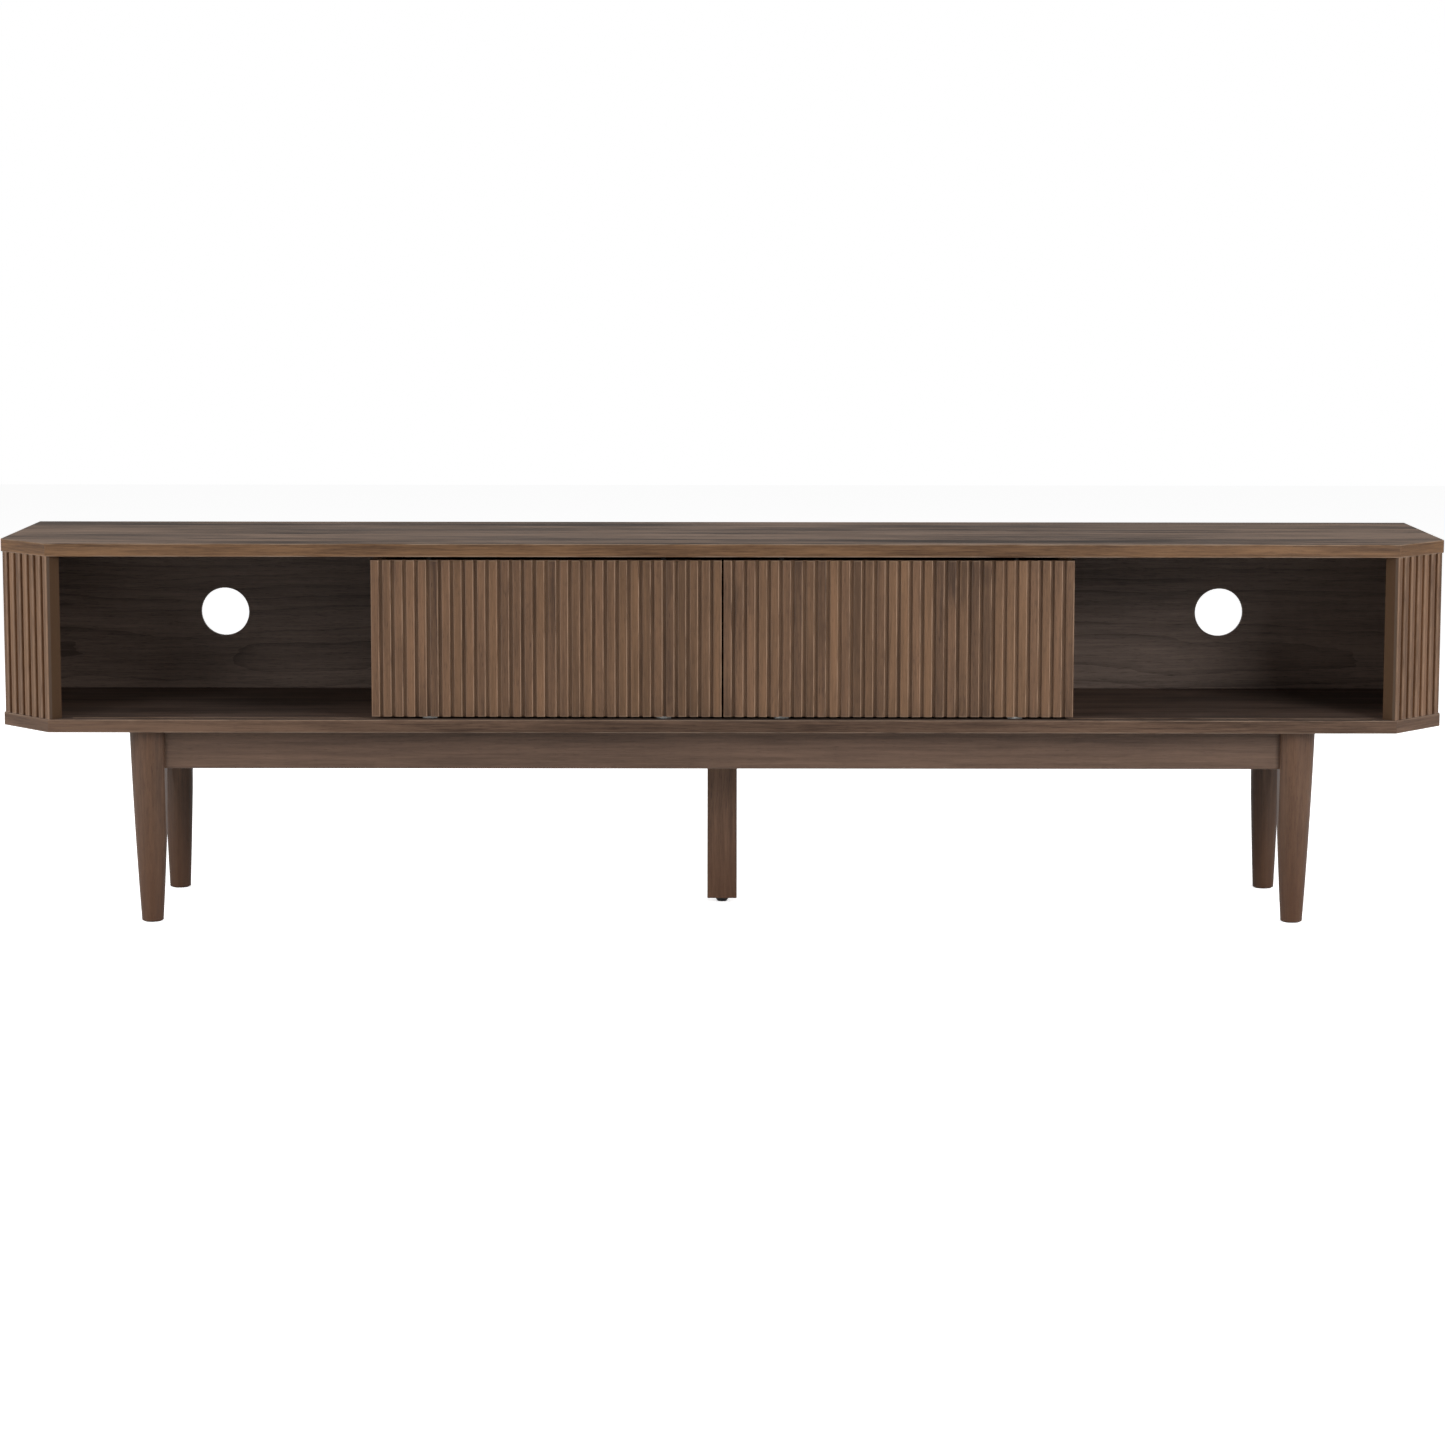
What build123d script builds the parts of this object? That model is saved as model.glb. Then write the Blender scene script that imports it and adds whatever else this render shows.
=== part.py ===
from build123d import *
import math
import os

# A low media cabinet: two boards with their front corners cut off, fluted
# sides, two sliding doors in one plane and a leg frame with a centre leg.
# Millimetres. Origin on the floor under the middle of the cabinet, +X to the
# right, +Y to the back, +Z up.

os.makedirs("parts", exist_ok=True)

# ------------------------------------------------------------ driving sizes
WIDTH = 2000.0
DEPTH = 400.0
HEIGHT = 530.0
BASE_HEIGHT = 270.0
BOARD = 18.0
CORNER_CUT_X = 75.0
CORNER_CUT_Y = 85.0
ARRIS = 1.0

SLAT_WIDTH = 11.4
SLAT_THICK = 5.0
SLAT_ROUND = 2.0
SLAT_PITCH = 16.17

SIDE_BOARD = 12.0
SIDE_SETBACK = 1.0
CORNER_BOARD = 15.0
CORNER_SETBACK = 1.5
CORNER_START = -1.3
CORNER_SLATS = 7
CORNER_PITCH = 17.2
CORNER_DOWEL_ALONG = 54.0
SIDE_SLATS = 19
SIDE_BACK_GAP = 2.0

BACK_THICK = 9.0
BACK_FRONT_Y = 175.0
BACK_GROOVE = 4.0
CABLE_HOLE_RADIUS = 35.0
CABLE_HOLE_X = 727.0
CABLE_HOLE_Z = 400.0

PARTITION_X = 471.0
PARTITION_FRONT_Y = -165.0

DOOR_WIDTH = 480.4
DOOR_GAP = 2.5
DOOR_BOTTOM = 291.4
DOOR_TOP = 506.9
DOOR_FRONT_Y = -192.0
DOOR_BOARD = 15.0
DOOR_SLATS = 30

GROOVE_Y = -180.0
GROOVE_WIDTH = 8.0
GROOVE_LENGTH = 1790.0
BOTTOM_GROOVE_DEEP = 5.0
TOP_GROOVE_DEEP = 10.0
GUIDE_INSET = 79.5

LEG_X = 792.7
FRONT_LEG_Y = -152.0
REAR_LEG_Y = 130.0
LEG_BOTTOM = 1.0
LEG_TOE_ROUND = 1.5
FRONT_LEG = {"toe": 14.9, "middle": 21.4, "top": 27.6, "flat": 21.5}
REAR_LEG = {"toe": 15.0, "middle": 19.3, "top": 23.0, "flat": 20.0}
LEG_MIDDLE_Z = 115.0
PAD_RADIUS = 12.0

RAIL_THICK = 20.0
APRON_SET_IN = 2.0
RAIL_HEIGHT = 55.0
CROSS_RAIL_WIDTH = 45.0

CENTRE_LEG = 42.0
CENTRE_LEG_Y = 13.0
CENTRE_LEG_BOTTOM = 7.0

# ------------------------------------------------------ sizes that follow
BAY_BOTTOM = BASE_HEIGHT + BOARD
BAY_TOP = HEIGHT - BOARD
BAY_HEIGHT = BAY_TOP - BAY_BOTTOM
BOARD_FRONT_Y = -DEPTH / 2
SIDE_FACE_X = WIDTH / 2 - SIDE_SETBACK
SIDE_OUTER_X = SIDE_FACE_X - SLAT_THICK
SIDE_INNER_X = SIDE_OUTER_X - SIDE_BOARD
CORNER_OUTER_N = -CORNER_SETBACK - SLAT_THICK
CORNER_INNER_N = CORNER_OUTER_N - CORNER_BOARD
CORNER_MIDDLE_N = (CORNER_OUTER_N + CORNER_INNER_N) / 2
SIDE_REAR_Y = DEPTH / 2 - SIDE_BACK_GAP
BACK_REAR_Y = BACK_FRONT_Y + BACK_THICK
DOOR_BOARD_FRONT_Y = DOOR_FRONT_Y + SLAT_THICK
DOOR_BOARD_MID_Y = DOOR_BOARD_FRONT_Y + DOOR_BOARD / 2
DOOR_MID_X = DOOR_GAP / 2 + DOOR_WIDTH / 2
GUIDE_REACH = DOOR_WIDTH / 2 - GUIDE_INSET
RAIL_BOTTOM = BASE_HEIGHT - RAIL_HEIGHT
FRONT_APRON_Y = FRONT_LEG_Y + APRON_SET_IN
REAR_APRON_Y = REAR_LEG_Y
RAIL_INNER_X = LEG_X - RAIL_THICK / 2

SIDES = {"left": -1, "right": 1}
LEGS = {
    "front": (FRONT_LEG_Y, FRONT_LEG, -1),
    "rear": (REAR_LEG_Y, REAR_LEG, 1),
}

# Holes are a little wider than what is glued or pushed into them.
FIT = 0.1
UP = (0, 0, 1)
DOWN = (0, 0, -1)

# Dowels: 8 mm in the partitions and the leg frame, 6 mm in the thin sides.
DOWEL_RADIUS = 4.0
THIN_DOWEL_RADIUS = 3.0
DOWEL_IN_BOARD = 10.0
DOWEL_IN_PANEL = 20.0
PARTITION_DOWEL_YS = (-130.0, 150.0)
SIDE_DOWEL_YS = (-60.0, 150.0)

# Cam fittings that pull the partitions to the boards.
CAM_YS = (-90.0, 110.0)
CAM_RADIUS = 7.5
CAM_DEEP = 13.5
CAM_INSET = 24.0
CAM_BOLT_RADIUS = 3.0
CAM_BORE_RADIUS = 3.5
CAM_BORE_PAST = 1.0
CAM_KEY = (8.0, 1.6, 2.0)

# Screws, by the thing that they hold.
BACK_SCREW_ZS = (330.0, 470.0)
BACK_SCREW_RADIUS = 2.0
BACK_SCREW_LENGTH = 29.0
BLOCK_SCREW_RADIUS = 2.5
BLOCK_SCREW_LENGTH = 52.0
RAIL_SCREW_RADIUS = 2.25
RAIL_SCREW_LENGTH = 30.0
RAIL_SCREW_SEAT = 250.0
CROSS_RAIL_SCREW_YS = (-80.0, 80.0)
SIDE_RAIL_SCREW_Y = -10.0
SCREW_HEAD_THICK = 3.0

# The blocks that brace the frame's corners, and the bolts that pull the legs.
BLOCK_OUTER = 40.0
BLOCK_INNER = 71.0
BLOCK_BOTTOM = 230.0
BLOCK_SCREW_SPREAD = 24.7
BOLT_Z = 250.0
BOLT_RADIUS = 4.0
BOLT_PLAY = 0.5
BOLT_HOLE_LENGTH = 90.0
BOLT_TIP = 7.0
WASHER_RADIUS = 9.0
WASHER_THICK = 1.6
NUT_THICK = 6.5
NUT_RADIUS = 7.5
BOLT_PAST_NUT = 3.0
FRAME_DOWEL_ZS = (228.0, 262.0)
FRAME_DOWEL_IN_RAIL = 25.0
FRAME_DOWEL_IN_LEG = 12.0


# ------------------------------------------------------------------ helpers
def corner_point(side, along, out):
    """A point by the cut corner: along the cut, and out from its edge."""
    cut = math.hypot(CORNER_CUT_X, CORNER_CUT_Y)
    step_x = CORNER_CUT_X / cut
    step_y = CORNER_CUT_Y / cut
    x = WIDTH / 2 - CORNER_CUT_X + step_x * along + step_y * out
    y = BOARD_FRONT_Y + step_y * along - step_x * out
    return side * x, y


def mitre_y(x, out):
    """Where a line that far out from the cut reaches x."""
    cut = math.hypot(CORNER_CUT_X, CORNER_CUT_Y)
    run = (x - (WIDTH / 2 - CORNER_CUT_X)) * CORNER_CUT_Y - out * cut
    return BOARD_FRONT_Y + run / CORNER_CUT_X


def rod(start, direction, radius, length, mode=Mode.ADD):
    """Add a round rod to the part being built, from start along direction."""
    with BuildSketch(Plane(origin=start, z_dir=direction)) as end:
        Circle(radius)
    extrude(end.sketch, amount=length, mode=mode)


def bore(start, direction, radius, length):
    """Cut a round hole in the part being built."""
    rod(start, direction, radius, length, Mode.SUBTRACT)


def prism(points, bottom, height):
    """Add an upright prism to the part being built."""
    with BuildSketch(Plane.XY.offset(bottom)) as outline:
        with BuildLine():
            Polyline(*points, close=True)
        make_face()
    extrude(outline.sketch, amount=height)


def panel_joints():
    """The two joints of an upright panel: height, and the way into the board."""
    return ((BAY_BOTTOM, -1), (BAY_TOP, 1))


def panel_dowel_places():
    """Plan positions and radii of the dowels that stand in both boards."""
    for side in SIDES.values():
        for y in PARTITION_DOWEL_YS:
            yield side * PARTITION_X, y, DOWEL_RADIUS
        for y in SIDE_DOWEL_YS:
            yield side * (SIDE_INNER_X + SIDE_BOARD / 2), y, THIN_DOWEL_RADIUS
        x, y = corner_point(side, CORNER_DOWEL_ALONG, CORNER_MIDDLE_N)
        yield x, y, THIN_DOWEL_RADIUS


def block_screw_places(side, end, apron_y):
    """Plan positions of the two screws in one corner block."""
    middle = (BLOCK_OUTER + BLOCK_INNER) / 2
    inner_y = apron_y - end * RAIL_THICK / 2
    spread = BLOCK_SCREW_SPREAD / math.sqrt(2)
    for shift in (-spread, spread):
        across = middle / 2 + shift
        yield side * (RAIL_INNER_X - across), inner_y - end * (middle - across)


def all_block_screw_places():
    """Plan positions of the screws in all four corner blocks."""
    for side in SIDES.values():
        for apron_y, end in ((FRONT_APRON_Y, -1), (REAR_APRON_Y, 1)):
            yield from block_screw_places(side, end, apron_y)


def rail_screw_places():
    """Plan positions of the screws through the cross rail and side rails."""
    for y in CROSS_RAIL_SCREW_YS:
        yield 0.0, y
    for side in SIDES.values():
        yield side * LEG_X, SIDE_RAIL_SCREW_Y


def bolt_line(side, leg_y, end):
    """Start on a leg's axis and direction towards its corner block."""
    direction = (-side / math.sqrt(2), -end / math.sqrt(2), 0)
    return Vector(side * LEG_X, leg_y, BOLT_Z), Vector(*direction)


def block_face_distance(leg_y, end, apron_y):
    """From a leg's axis to the inner face of its block, along the bolt."""
    inner_y = apron_y - end * RAIL_THICK / 2
    corner = (LEG_X - RAIL_INNER_X) + end * (leg_y - inner_y)
    return (corner + BLOCK_INNER) / math.sqrt(2)


def frame_dowel_lines(side, leg_y, leg, end, apron_y):
    """Dowel mouths on a leg's two flats, each with its way into the leg."""
    for z in FRAME_DOWEL_ZS:
        yield Vector(side * (LEG_X - leg["flat"]), apron_y, z), Vector(side, 0, 0)
        yield Vector(side * LEG_X, leg_y - end * leg["flat"], z), Vector(0, end, 0)


def cross_dowel_lines():
    """Dowel mouths at the cross rail's ends, each with its way into an apron."""
    for z in FRAME_DOWEL_ZS:
        yield Vector(0, FRONT_APRON_Y + RAIL_THICK / 2, z), Vector(0, -1, 0)
        yield Vector(0, REAR_APRON_Y - RAIL_THICK / 2, z), Vector(0, 1, 0)


def apron_of(end):
    """The middle of the apron at that end of the frame."""
    return FRONT_APRON_Y if end < 0 else REAR_APRON_Y


# ------------------------------------------------------ top and bottom boards
def board_blank(bottom):
    """The shared outline of the two long boards, with eased edges."""
    half = WIDTH / 2
    outline = [
        (-half, DEPTH / 2),
        (-half, BOARD_FRONT_Y + CORNER_CUT_Y),
        (-half + CORNER_CUT_X, BOARD_FRONT_Y),
        (half - CORNER_CUT_X, BOARD_FRONT_Y),
        (half, BOARD_FRONT_Y + CORNER_CUT_Y),
        (half, DEPTH / 2),
    ]
    prism(outline, bottom, BOARD)


def door_groove(mouth, direction, deep):
    """The long groove that a door's guides run in, with round ends."""
    with BuildSketch(Plane.XY.offset(mouth)) as slot:
        with Locations((0, GROOVE_Y)):
            SlotOverall(GROOVE_LENGTH, GROOVE_WIDTH)
    extrude(slot.sketch, amount=deep, dir=direction, mode=Mode.SUBTRACT)


def back_groove(mouth, direction):
    """The groove in a board that holds an edge of the back panel."""
    with BuildSketch(Plane.XY.offset(mouth)) as slot:
        with Locations((0, BACK_FRONT_Y + BACK_THICK / 2)):
            Rectangle(2 * (SIDE_INNER_X + BACK_GROOVE), BACK_THICK)
    extrude(slot.sketch, amount=BACK_GROOVE, dir=direction, mode=Mode.SUBTRACT)


def panel_holes(mouth, direction):
    """Dowel and cam bolt holes in the inner face of a board."""
    for x, y, radius in panel_dowel_places():
        bore((x, y, mouth), direction, radius, DOWEL_IN_BOARD)
    for side in SIDES.values():
        for y in CAM_YS:
            place = (side * PARTITION_X, y, mouth)
            bore(place, direction, CAM_BOLT_RADIUS + FIT, DOWEL_IN_BOARD)


with BuildPart() as top_board:
    board_blank(BAY_TOP)
    fillet(top_board.edges(), ARRIS)
    door_groove(BAY_TOP, UP, TOP_GROOVE_DEEP)
    back_groove(BAY_TOP, UP)
    panel_holes(BAY_TOP, UP)
top_board.part.label = "top_board"
export_step(top_board.part, "parts/top_board.step")

with BuildPart() as bottom_board:
    board_blank(BASE_HEIGHT)
    fillet(bottom_board.edges(), ARRIS)
    door_groove(BAY_BOTTOM, DOWN, BOTTOM_GROOVE_DEEP)
    back_groove(BAY_BOTTOM, DOWN)
    panel_holes(BAY_BOTTOM, DOWN)
    block_screw_in_board = BLOCK_SCREW_LENGTH - (BASE_HEIGHT - BLOCK_BOTTOM)
    for x, y in all_block_screw_places():
        bore((x, y, BASE_HEIGHT), UP, BLOCK_SCREW_RADIUS + FIT, block_screw_in_board)
    rail_screw_in_board = RAIL_SCREW_LENGTH - (BASE_HEIGHT - RAIL_SCREW_SEAT)
    for x, y in rail_screw_places():
        bore((x, y, BASE_HEIGHT), UP, RAIL_SCREW_RADIUS + FIT, rail_screw_in_board)
bottom_board.part.label = "bottom_board"
export_step(bottom_board.part, "parts/bottom_board.step")


# ---------------------------------------------------------------- back panel
with BuildPart() as back_panel:
    with BuildSketch(Plane.XZ.offset(-BACK_REAR_Y)):
        with Locations((0, (BAY_BOTTOM + BAY_TOP) / 2)):
            Rectangle(2 * (SIDE_INNER_X + BACK_GROOVE), BAY_HEIGHT + 2 * BACK_GROOVE)
        with Locations((-CABLE_HOLE_X, CABLE_HOLE_Z), (CABLE_HOLE_X, CABLE_HOLE_Z)):
            Circle(CABLE_HOLE_RADIUS, mode=Mode.SUBTRACT)
        with Locations(*[(x, z) for x in (-PARTITION_X, PARTITION_X) for z in BACK_SCREW_ZS]):
            Circle(BACK_SCREW_RADIUS + FIT, mode=Mode.SUBTRACT)
    extrude(amount=BACK_THICK)
back_panel.part.label = "back_panel"
export_step(back_panel.part, "parts/back_panel.step")

with BuildPart() as back_panel_screws:
    for screw_x in (-PARTITION_X, PARTITION_X):
        for screw_z in BACK_SCREW_ZS:
            screw_end = (screw_x, BACK_REAR_Y, screw_z)
            rod(screw_end, (0, -1, 0), BACK_SCREW_RADIUS, BACK_SCREW_LENGTH)
            rod(screw_end, (0, 1, 0), 2 * BACK_SCREW_RADIUS, SCREW_HEAD_THICK)
back_panel_screws.part.label = "back_panel_screws"
export_step(back_panel_screws.part, "parts/back_panel_screws.step")


# --------------------------------------------------- fluted sides and corners
def upright_slats(plane, pitch, count):
    """A row of round-edged slats on a plane whose -Y side is the outside."""
    with BuildSketch(plane) as row:
        with GridLocations(pitch, 0, count, 1):
            Rectangle(SLAT_WIDTH, SLAT_THICK)
        fillet(row.vertices().group_by(Axis.Y)[0], SLAT_ROUND)
    return row.sketch


def make_side_board(name, side):
    """The board behind the slats of one side, mitred to its corner board."""
    outer_y = mitre_y(SIDE_OUTER_X, CORNER_OUTER_N)
    inner_y = mitre_y(SIDE_INNER_X, CORNER_INNER_N)
    outline = [
        (side * SIDE_OUTER_X, outer_y),
        (side * SIDE_OUTER_X, SIDE_REAR_Y),
        (side * SIDE_INNER_X, SIDE_REAR_Y),
        (side * SIDE_INNER_X, inner_y),
    ]
    with BuildPart() as side_board:
        prism(outline, BAY_BOTTOM, BAY_HEIGHT)
        groove_x = side * (SIDE_INNER_X + BACK_GROOVE / 2)
        with BuildSketch(Plane.XY.offset(BAY_BOTTOM)) as groove:
            with Locations((groove_x, BACK_FRONT_Y + BACK_THICK / 2)):
                Rectangle(BACK_GROOVE, BACK_THICK)
        extrude(groove.sketch, amount=BAY_HEIGHT, mode=Mode.SUBTRACT)
        for mouth, way in panel_joints():
            for y in SIDE_DOWEL_YS:
                place = (side * (SIDE_INNER_X + SIDE_BOARD / 2), y, mouth)
                bore(place, (0, 0, -way), THIN_DOWEL_RADIUS, DOWEL_IN_PANEL)
    side_board.part.label = f"{name}_side_board"
    export_step(side_board.part, f"parts/{side_board.part.label}.step")


def make_side_slats(name, side):
    """The slats glued to one side board."""
    first_y = SIDE_REAR_Y - (SIDE_SLATS - 1) * SLAT_PITCH - SLAT_WIDTH
    middle = (side * (SIDE_OUTER_X + SLAT_THICK / 2), (first_y + SIDE_REAR_Y) / 2)
    plane = Plane(
        origin=(*middle, BAY_BOTTOM),
        x_dir=(0, side, 0),
        z_dir=UP,
    )
    with BuildPart() as side_slats:
        row = upright_slats(plane, SLAT_PITCH, SIDE_SLATS)
        extrude(row, amount=BAY_HEIGHT)
    side_slats.part.label = f"{name}_side_slats"
    export_step(side_slats.part, f"parts/{side_slats.part.label}.step")


def make_corner_board(name, side):
    """The short board along the cut corner, square at the front."""
    outline = [
        corner_point(side, CORNER_START, CORNER_OUTER_N),
        (side * SIDE_OUTER_X, mitre_y(SIDE_OUTER_X, CORNER_OUTER_N)),
        (side * SIDE_INNER_X, mitre_y(SIDE_INNER_X, CORNER_INNER_N)),
        corner_point(side, CORNER_START, CORNER_INNER_N),
    ]
    dowel_at = corner_point(side, CORNER_DOWEL_ALONG, CORNER_MIDDLE_N)
    with BuildPart() as corner_board:
        prism(outline, BAY_BOTTOM, BAY_HEIGHT)
        for mouth, way in panel_joints():
            bore((*dowel_at, mouth), (0, 0, -way), THIN_DOWEL_RADIUS, DOWEL_IN_PANEL)
    corner_board.part.label = f"{name}_corner_board"
    export_step(corner_board.part, f"parts/{corner_board.part.label}.step")


def make_corner_slats(name, side):
    """The slats glued to one corner board."""
    run = (CORNER_SLATS - 1) * CORNER_PITCH + SLAT_WIDTH
    middle = corner_point(side, CORNER_START + run / 2, CORNER_OUTER_N + SLAT_THICK / 2)
    plane = Plane(
        origin=(*middle, BAY_BOTTOM),
        x_dir=(CORNER_CUT_X, side * CORNER_CUT_Y, 0),
        z_dir=UP,
    )
    with BuildPart() as corner_slats:
        row = upright_slats(plane, CORNER_PITCH, CORNER_SLATS)
        extrude(row, amount=BAY_HEIGHT)
    corner_slats.part.label = f"{name}_corner_slats"
    export_step(corner_slats.part, f"parts/{corner_slats.part.label}.step")


# ----------------------------------------------------------------- partitions
def make_partition(name, side):
    """An upright between the bays, pulled to both boards by cam fittings."""
    hidden_x = side * (PARTITION_X - BOARD / 2)
    with BuildPart() as partition:
        with BuildSketch(Plane.XY.offset(BAY_BOTTOM)):
            with Locations((side * PARTITION_X, (PARTITION_FRONT_Y + BACK_FRONT_Y) / 2)):
                Rectangle(BOARD, BACK_FRONT_Y - PARTITION_FRONT_Y)
        extrude(amount=BAY_HEIGHT)
        fillet(partition.edges().filter_by(Axis.Z).group_by(Axis.Y)[0], ARRIS)
        for mouth, way in panel_joints():
            inward = (0, 0, -way)
            for y in PARTITION_DOWEL_YS:
                bore((side * PARTITION_X, y, mouth), inward, DOWEL_RADIUS, DOWEL_IN_PANEL)
            for y in CAM_YS:
                bore((side * PARTITION_X, y, mouth), inward, CAM_BORE_RADIUS, CAM_INSET)
                pocket = (hidden_x, y, mouth - way * CAM_INSET)
                bore(pocket, (side, 0, 0), CAM_RADIUS, CAM_DEEP)
        for z in BACK_SCREW_ZS:
            screw_in_edge = BACK_SCREW_LENGTH - BACK_THICK
            place = (side * PARTITION_X, BACK_FRONT_Y, z)
            bore(place, (0, -1, 0), BACK_SCREW_RADIUS + FIT, screw_in_edge)
    partition.part.label = f"{name}_partition"
    export_step(partition.part, f"parts/{partition.part.label}.step")


with BuildPart() as cam_locks:
    for cam_side in SIDES.values():
        for joint_z, way in panel_joints():
            for y in CAM_YS:
                cam_z = joint_z - way * CAM_INSET
                face = (cam_side * (PARTITION_X - BOARD / 2), y, cam_z)
                rod(face, (cam_side, 0, 0), CAM_RADIUS - FIT, CAM_DEEP)
    for cam_side in SIDES.values():
        for joint_z, way in panel_joints():
            for y in CAM_YS:
                cam_z = joint_z - way * CAM_INSET
                middle = (cam_side * PARTITION_X, y, cam_z)
                bore(middle, (0, 0, way), CAM_BORE_RADIUS, CAM_RADIUS + CAM_BORE_PAST)
                with BuildSketch(Plane.YZ.offset(cam_side * (PARTITION_X - BOARD / 2))) as key:
                    with Locations((y, cam_z)):
                        Rectangle(CAM_KEY[0], CAM_KEY[1])
                        Rectangle(CAM_KEY[1], CAM_KEY[0])
                extrude(key.sketch, amount=cam_side * CAM_KEY[2], mode=Mode.SUBTRACT)
cam_locks.part.label = "cam_locks"
export_step(cam_locks.part, "parts/cam_locks.step")

with BuildPart() as cam_bolts:
    for bolt_side in SIDES.values():
        for joint_z, way in panel_joints():
            for y in CAM_YS:
                tip = (bolt_side * PARTITION_X, y, joint_z - way * CAM_INSET)
                rod(tip, (0, 0, way), CAM_BOLT_RADIUS, CAM_INSET + DOWEL_IN_BOARD)
cam_bolts.part.label = "cam_bolts"
export_step(cam_bolts.part, "parts/cam_bolts.step")

with BuildPart() as carcass_dowels:
    for x, y, dowel_radius in panel_dowel_places():
        for joint_z, way in panel_joints():
            start = (x, y, joint_z - way * DOWEL_IN_PANEL)
            length = DOWEL_IN_PANEL + DOWEL_IN_BOARD
            rod(start, (0, 0, way), dowel_radius - FIT, length)
carcass_dowels.part.label = "carcass_dowels"
export_step(carcass_dowels.part, "parts/carcass_dowels.step")


# -------------------------------------------------------------- sliding doors
STEM = (7.0, 8.0, 10.0)
FLANGE = (20.0, 14.0, 2.4)
TONGUE = (8.4, 7.0)
GUIDE_ROUND = 2.0
TONGUE_CLEAR = 0.4
GUIDE_SCREW_X = 7.0
GUIDE_SCREW_RADIUS = 1.2
GUIDE_SCREW_LENGTH = 13.0
GUIDE_HEAD = (2.3, 1.0)
TOP_GUIDE_RADIUS = 5.0
TOP_PIN_RADIUS = 3.4
TOP_GUIDE_DEEP = 20.0
TOP_PIN_HIGH = 9.1


def guide_xs(side):
    """Where the two guides of a door stand."""
    middle = side * DOOR_MID_X
    return (middle - GUIDE_REACH, middle + GUIDE_REACH)


def make_door_board(name, side):
    """The board of one door, with sockets for its guides."""
    with BuildPart() as door_board:
        with BuildSketch(Plane.XY.offset(DOOR_BOTTOM)):
            with Locations((side * DOOR_MID_X, DOOR_BOARD_MID_Y)):
                Rectangle(DOOR_WIDTH, DOOR_BOARD)
        extrude(amount=DOOR_TOP - DOOR_BOTTOM)
        fillet(door_board.edges().group_by(Axis.Y)[-1], ARRIS)
        with BuildSketch(Plane.XY.offset(DOOR_BOTTOM)) as sockets:
            with Locations(*[(x, DOOR_BOARD_MID_Y) for x in guide_xs(side)]):
                Rectangle(STEM[0], STEM[1])
        extrude(sockets.sketch, amount=STEM[2], mode=Mode.SUBTRACT)
        for x in guide_xs(side):
            for shift in (-GUIDE_SCREW_X, GUIDE_SCREW_X):
                place = (x + shift, GROOVE_Y, DOOR_BOTTOM)
                bore(place, UP, GUIDE_SCREW_RADIUS + FIT, GUIDE_SCREW_LENGTH - FLANGE[2])
            place = (x, GROOVE_Y, DOOR_TOP)
            bore(place, DOWN, TOP_GUIDE_RADIUS + FIT, TOP_GUIDE_DEEP)
    door_board.part.label = f"{name}_door_board"
    export_step(door_board.part, f"parts/{door_board.part.label}.step")


def make_door_slats(name, side):
    """The slats glued to the front of one door."""
    middle = (side * DOOR_MID_X, DOOR_FRONT_Y + SLAT_THICK / 2, DOOR_BOTTOM)
    plane = Plane(origin=middle, x_dir=(1, 0, 0), z_dir=UP)
    pitch = (DOOR_WIDTH - SLAT_WIDTH) / (DOOR_SLATS - 1)
    with BuildPart() as door_slats:
        row = upright_slats(plane, pitch, DOOR_SLATS)
        extrude(row, amount=DOOR_TOP - DOOR_BOTTOM)
    door_slats.part.label = f"{name}_door_slats"
    export_step(door_slats.part, f"parts/{door_slats.part.label}.step")


def make_bottom_guides(name, side):
    """The two plastic guides that run in the bottom groove."""
    flange_bottom = DOOR_BOTTOM - FLANGE[2]
    tongue_bottom = BAY_BOTTOM - BOTTOM_GROOVE_DEEP + TONGUE_CLEAR
    with BuildPart() as bottom_guides:
        for x in guide_xs(side):
            with BuildSketch(Plane.XY.offset(tongue_bottom)) as tongue:
                with Locations((x, GROOVE_Y)):
                    RectangleRounded(TONGUE[0], TONGUE[1], GUIDE_ROUND)
            extrude(tongue.sketch, amount=flange_bottom - tongue_bottom)
            with BuildSketch(Plane.XY.offset(flange_bottom)) as flange:
                with Locations((x, GROOVE_Y)):
                    RectangleRounded(FLANGE[0], FLANGE[1], GUIDE_ROUND)
            extrude(flange.sketch, amount=FLANGE[2])
            with BuildSketch(Plane.XY.offset(DOOR_BOTTOM)) as stem:
                with Locations((x, DOOR_BOARD_MID_Y)):
                    Rectangle(STEM[0], STEM[1])
            extrude(stem.sketch, amount=STEM[2])
            for shift in (-GUIDE_SCREW_X, GUIDE_SCREW_X):
                place = (x + shift, GROOVE_Y, flange_bottom)
                bore(place, UP, GUIDE_SCREW_RADIUS + FIT, FLANGE[2])
                bore(place, UP, GUIDE_HEAD[0] + FIT, GUIDE_HEAD[1])
    bottom_guides.part.label = f"{name}_door_bottom_guides"
    export_step(bottom_guides.part, f"parts/{bottom_guides.part.label}.step")


def make_guide_screws(name, side):
    """The small screws that hold the bottom guides, heads flush."""
    with BuildPart() as guide_screws:
        for x in guide_xs(side):
            for shift in (-GUIDE_SCREW_X, GUIDE_SCREW_X):
                place = (x + shift, GROOVE_Y, DOOR_BOTTOM - FLANGE[2])
                rod(place, UP, GUIDE_HEAD[0], GUIDE_HEAD[1])
                rod(place, UP, GUIDE_SCREW_RADIUS, GUIDE_SCREW_LENGTH)
    guide_screws.part.label = f"{name}_door_guide_screws"
    export_step(guide_screws.part, f"parts/{guide_screws.part.label}.step")


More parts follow.
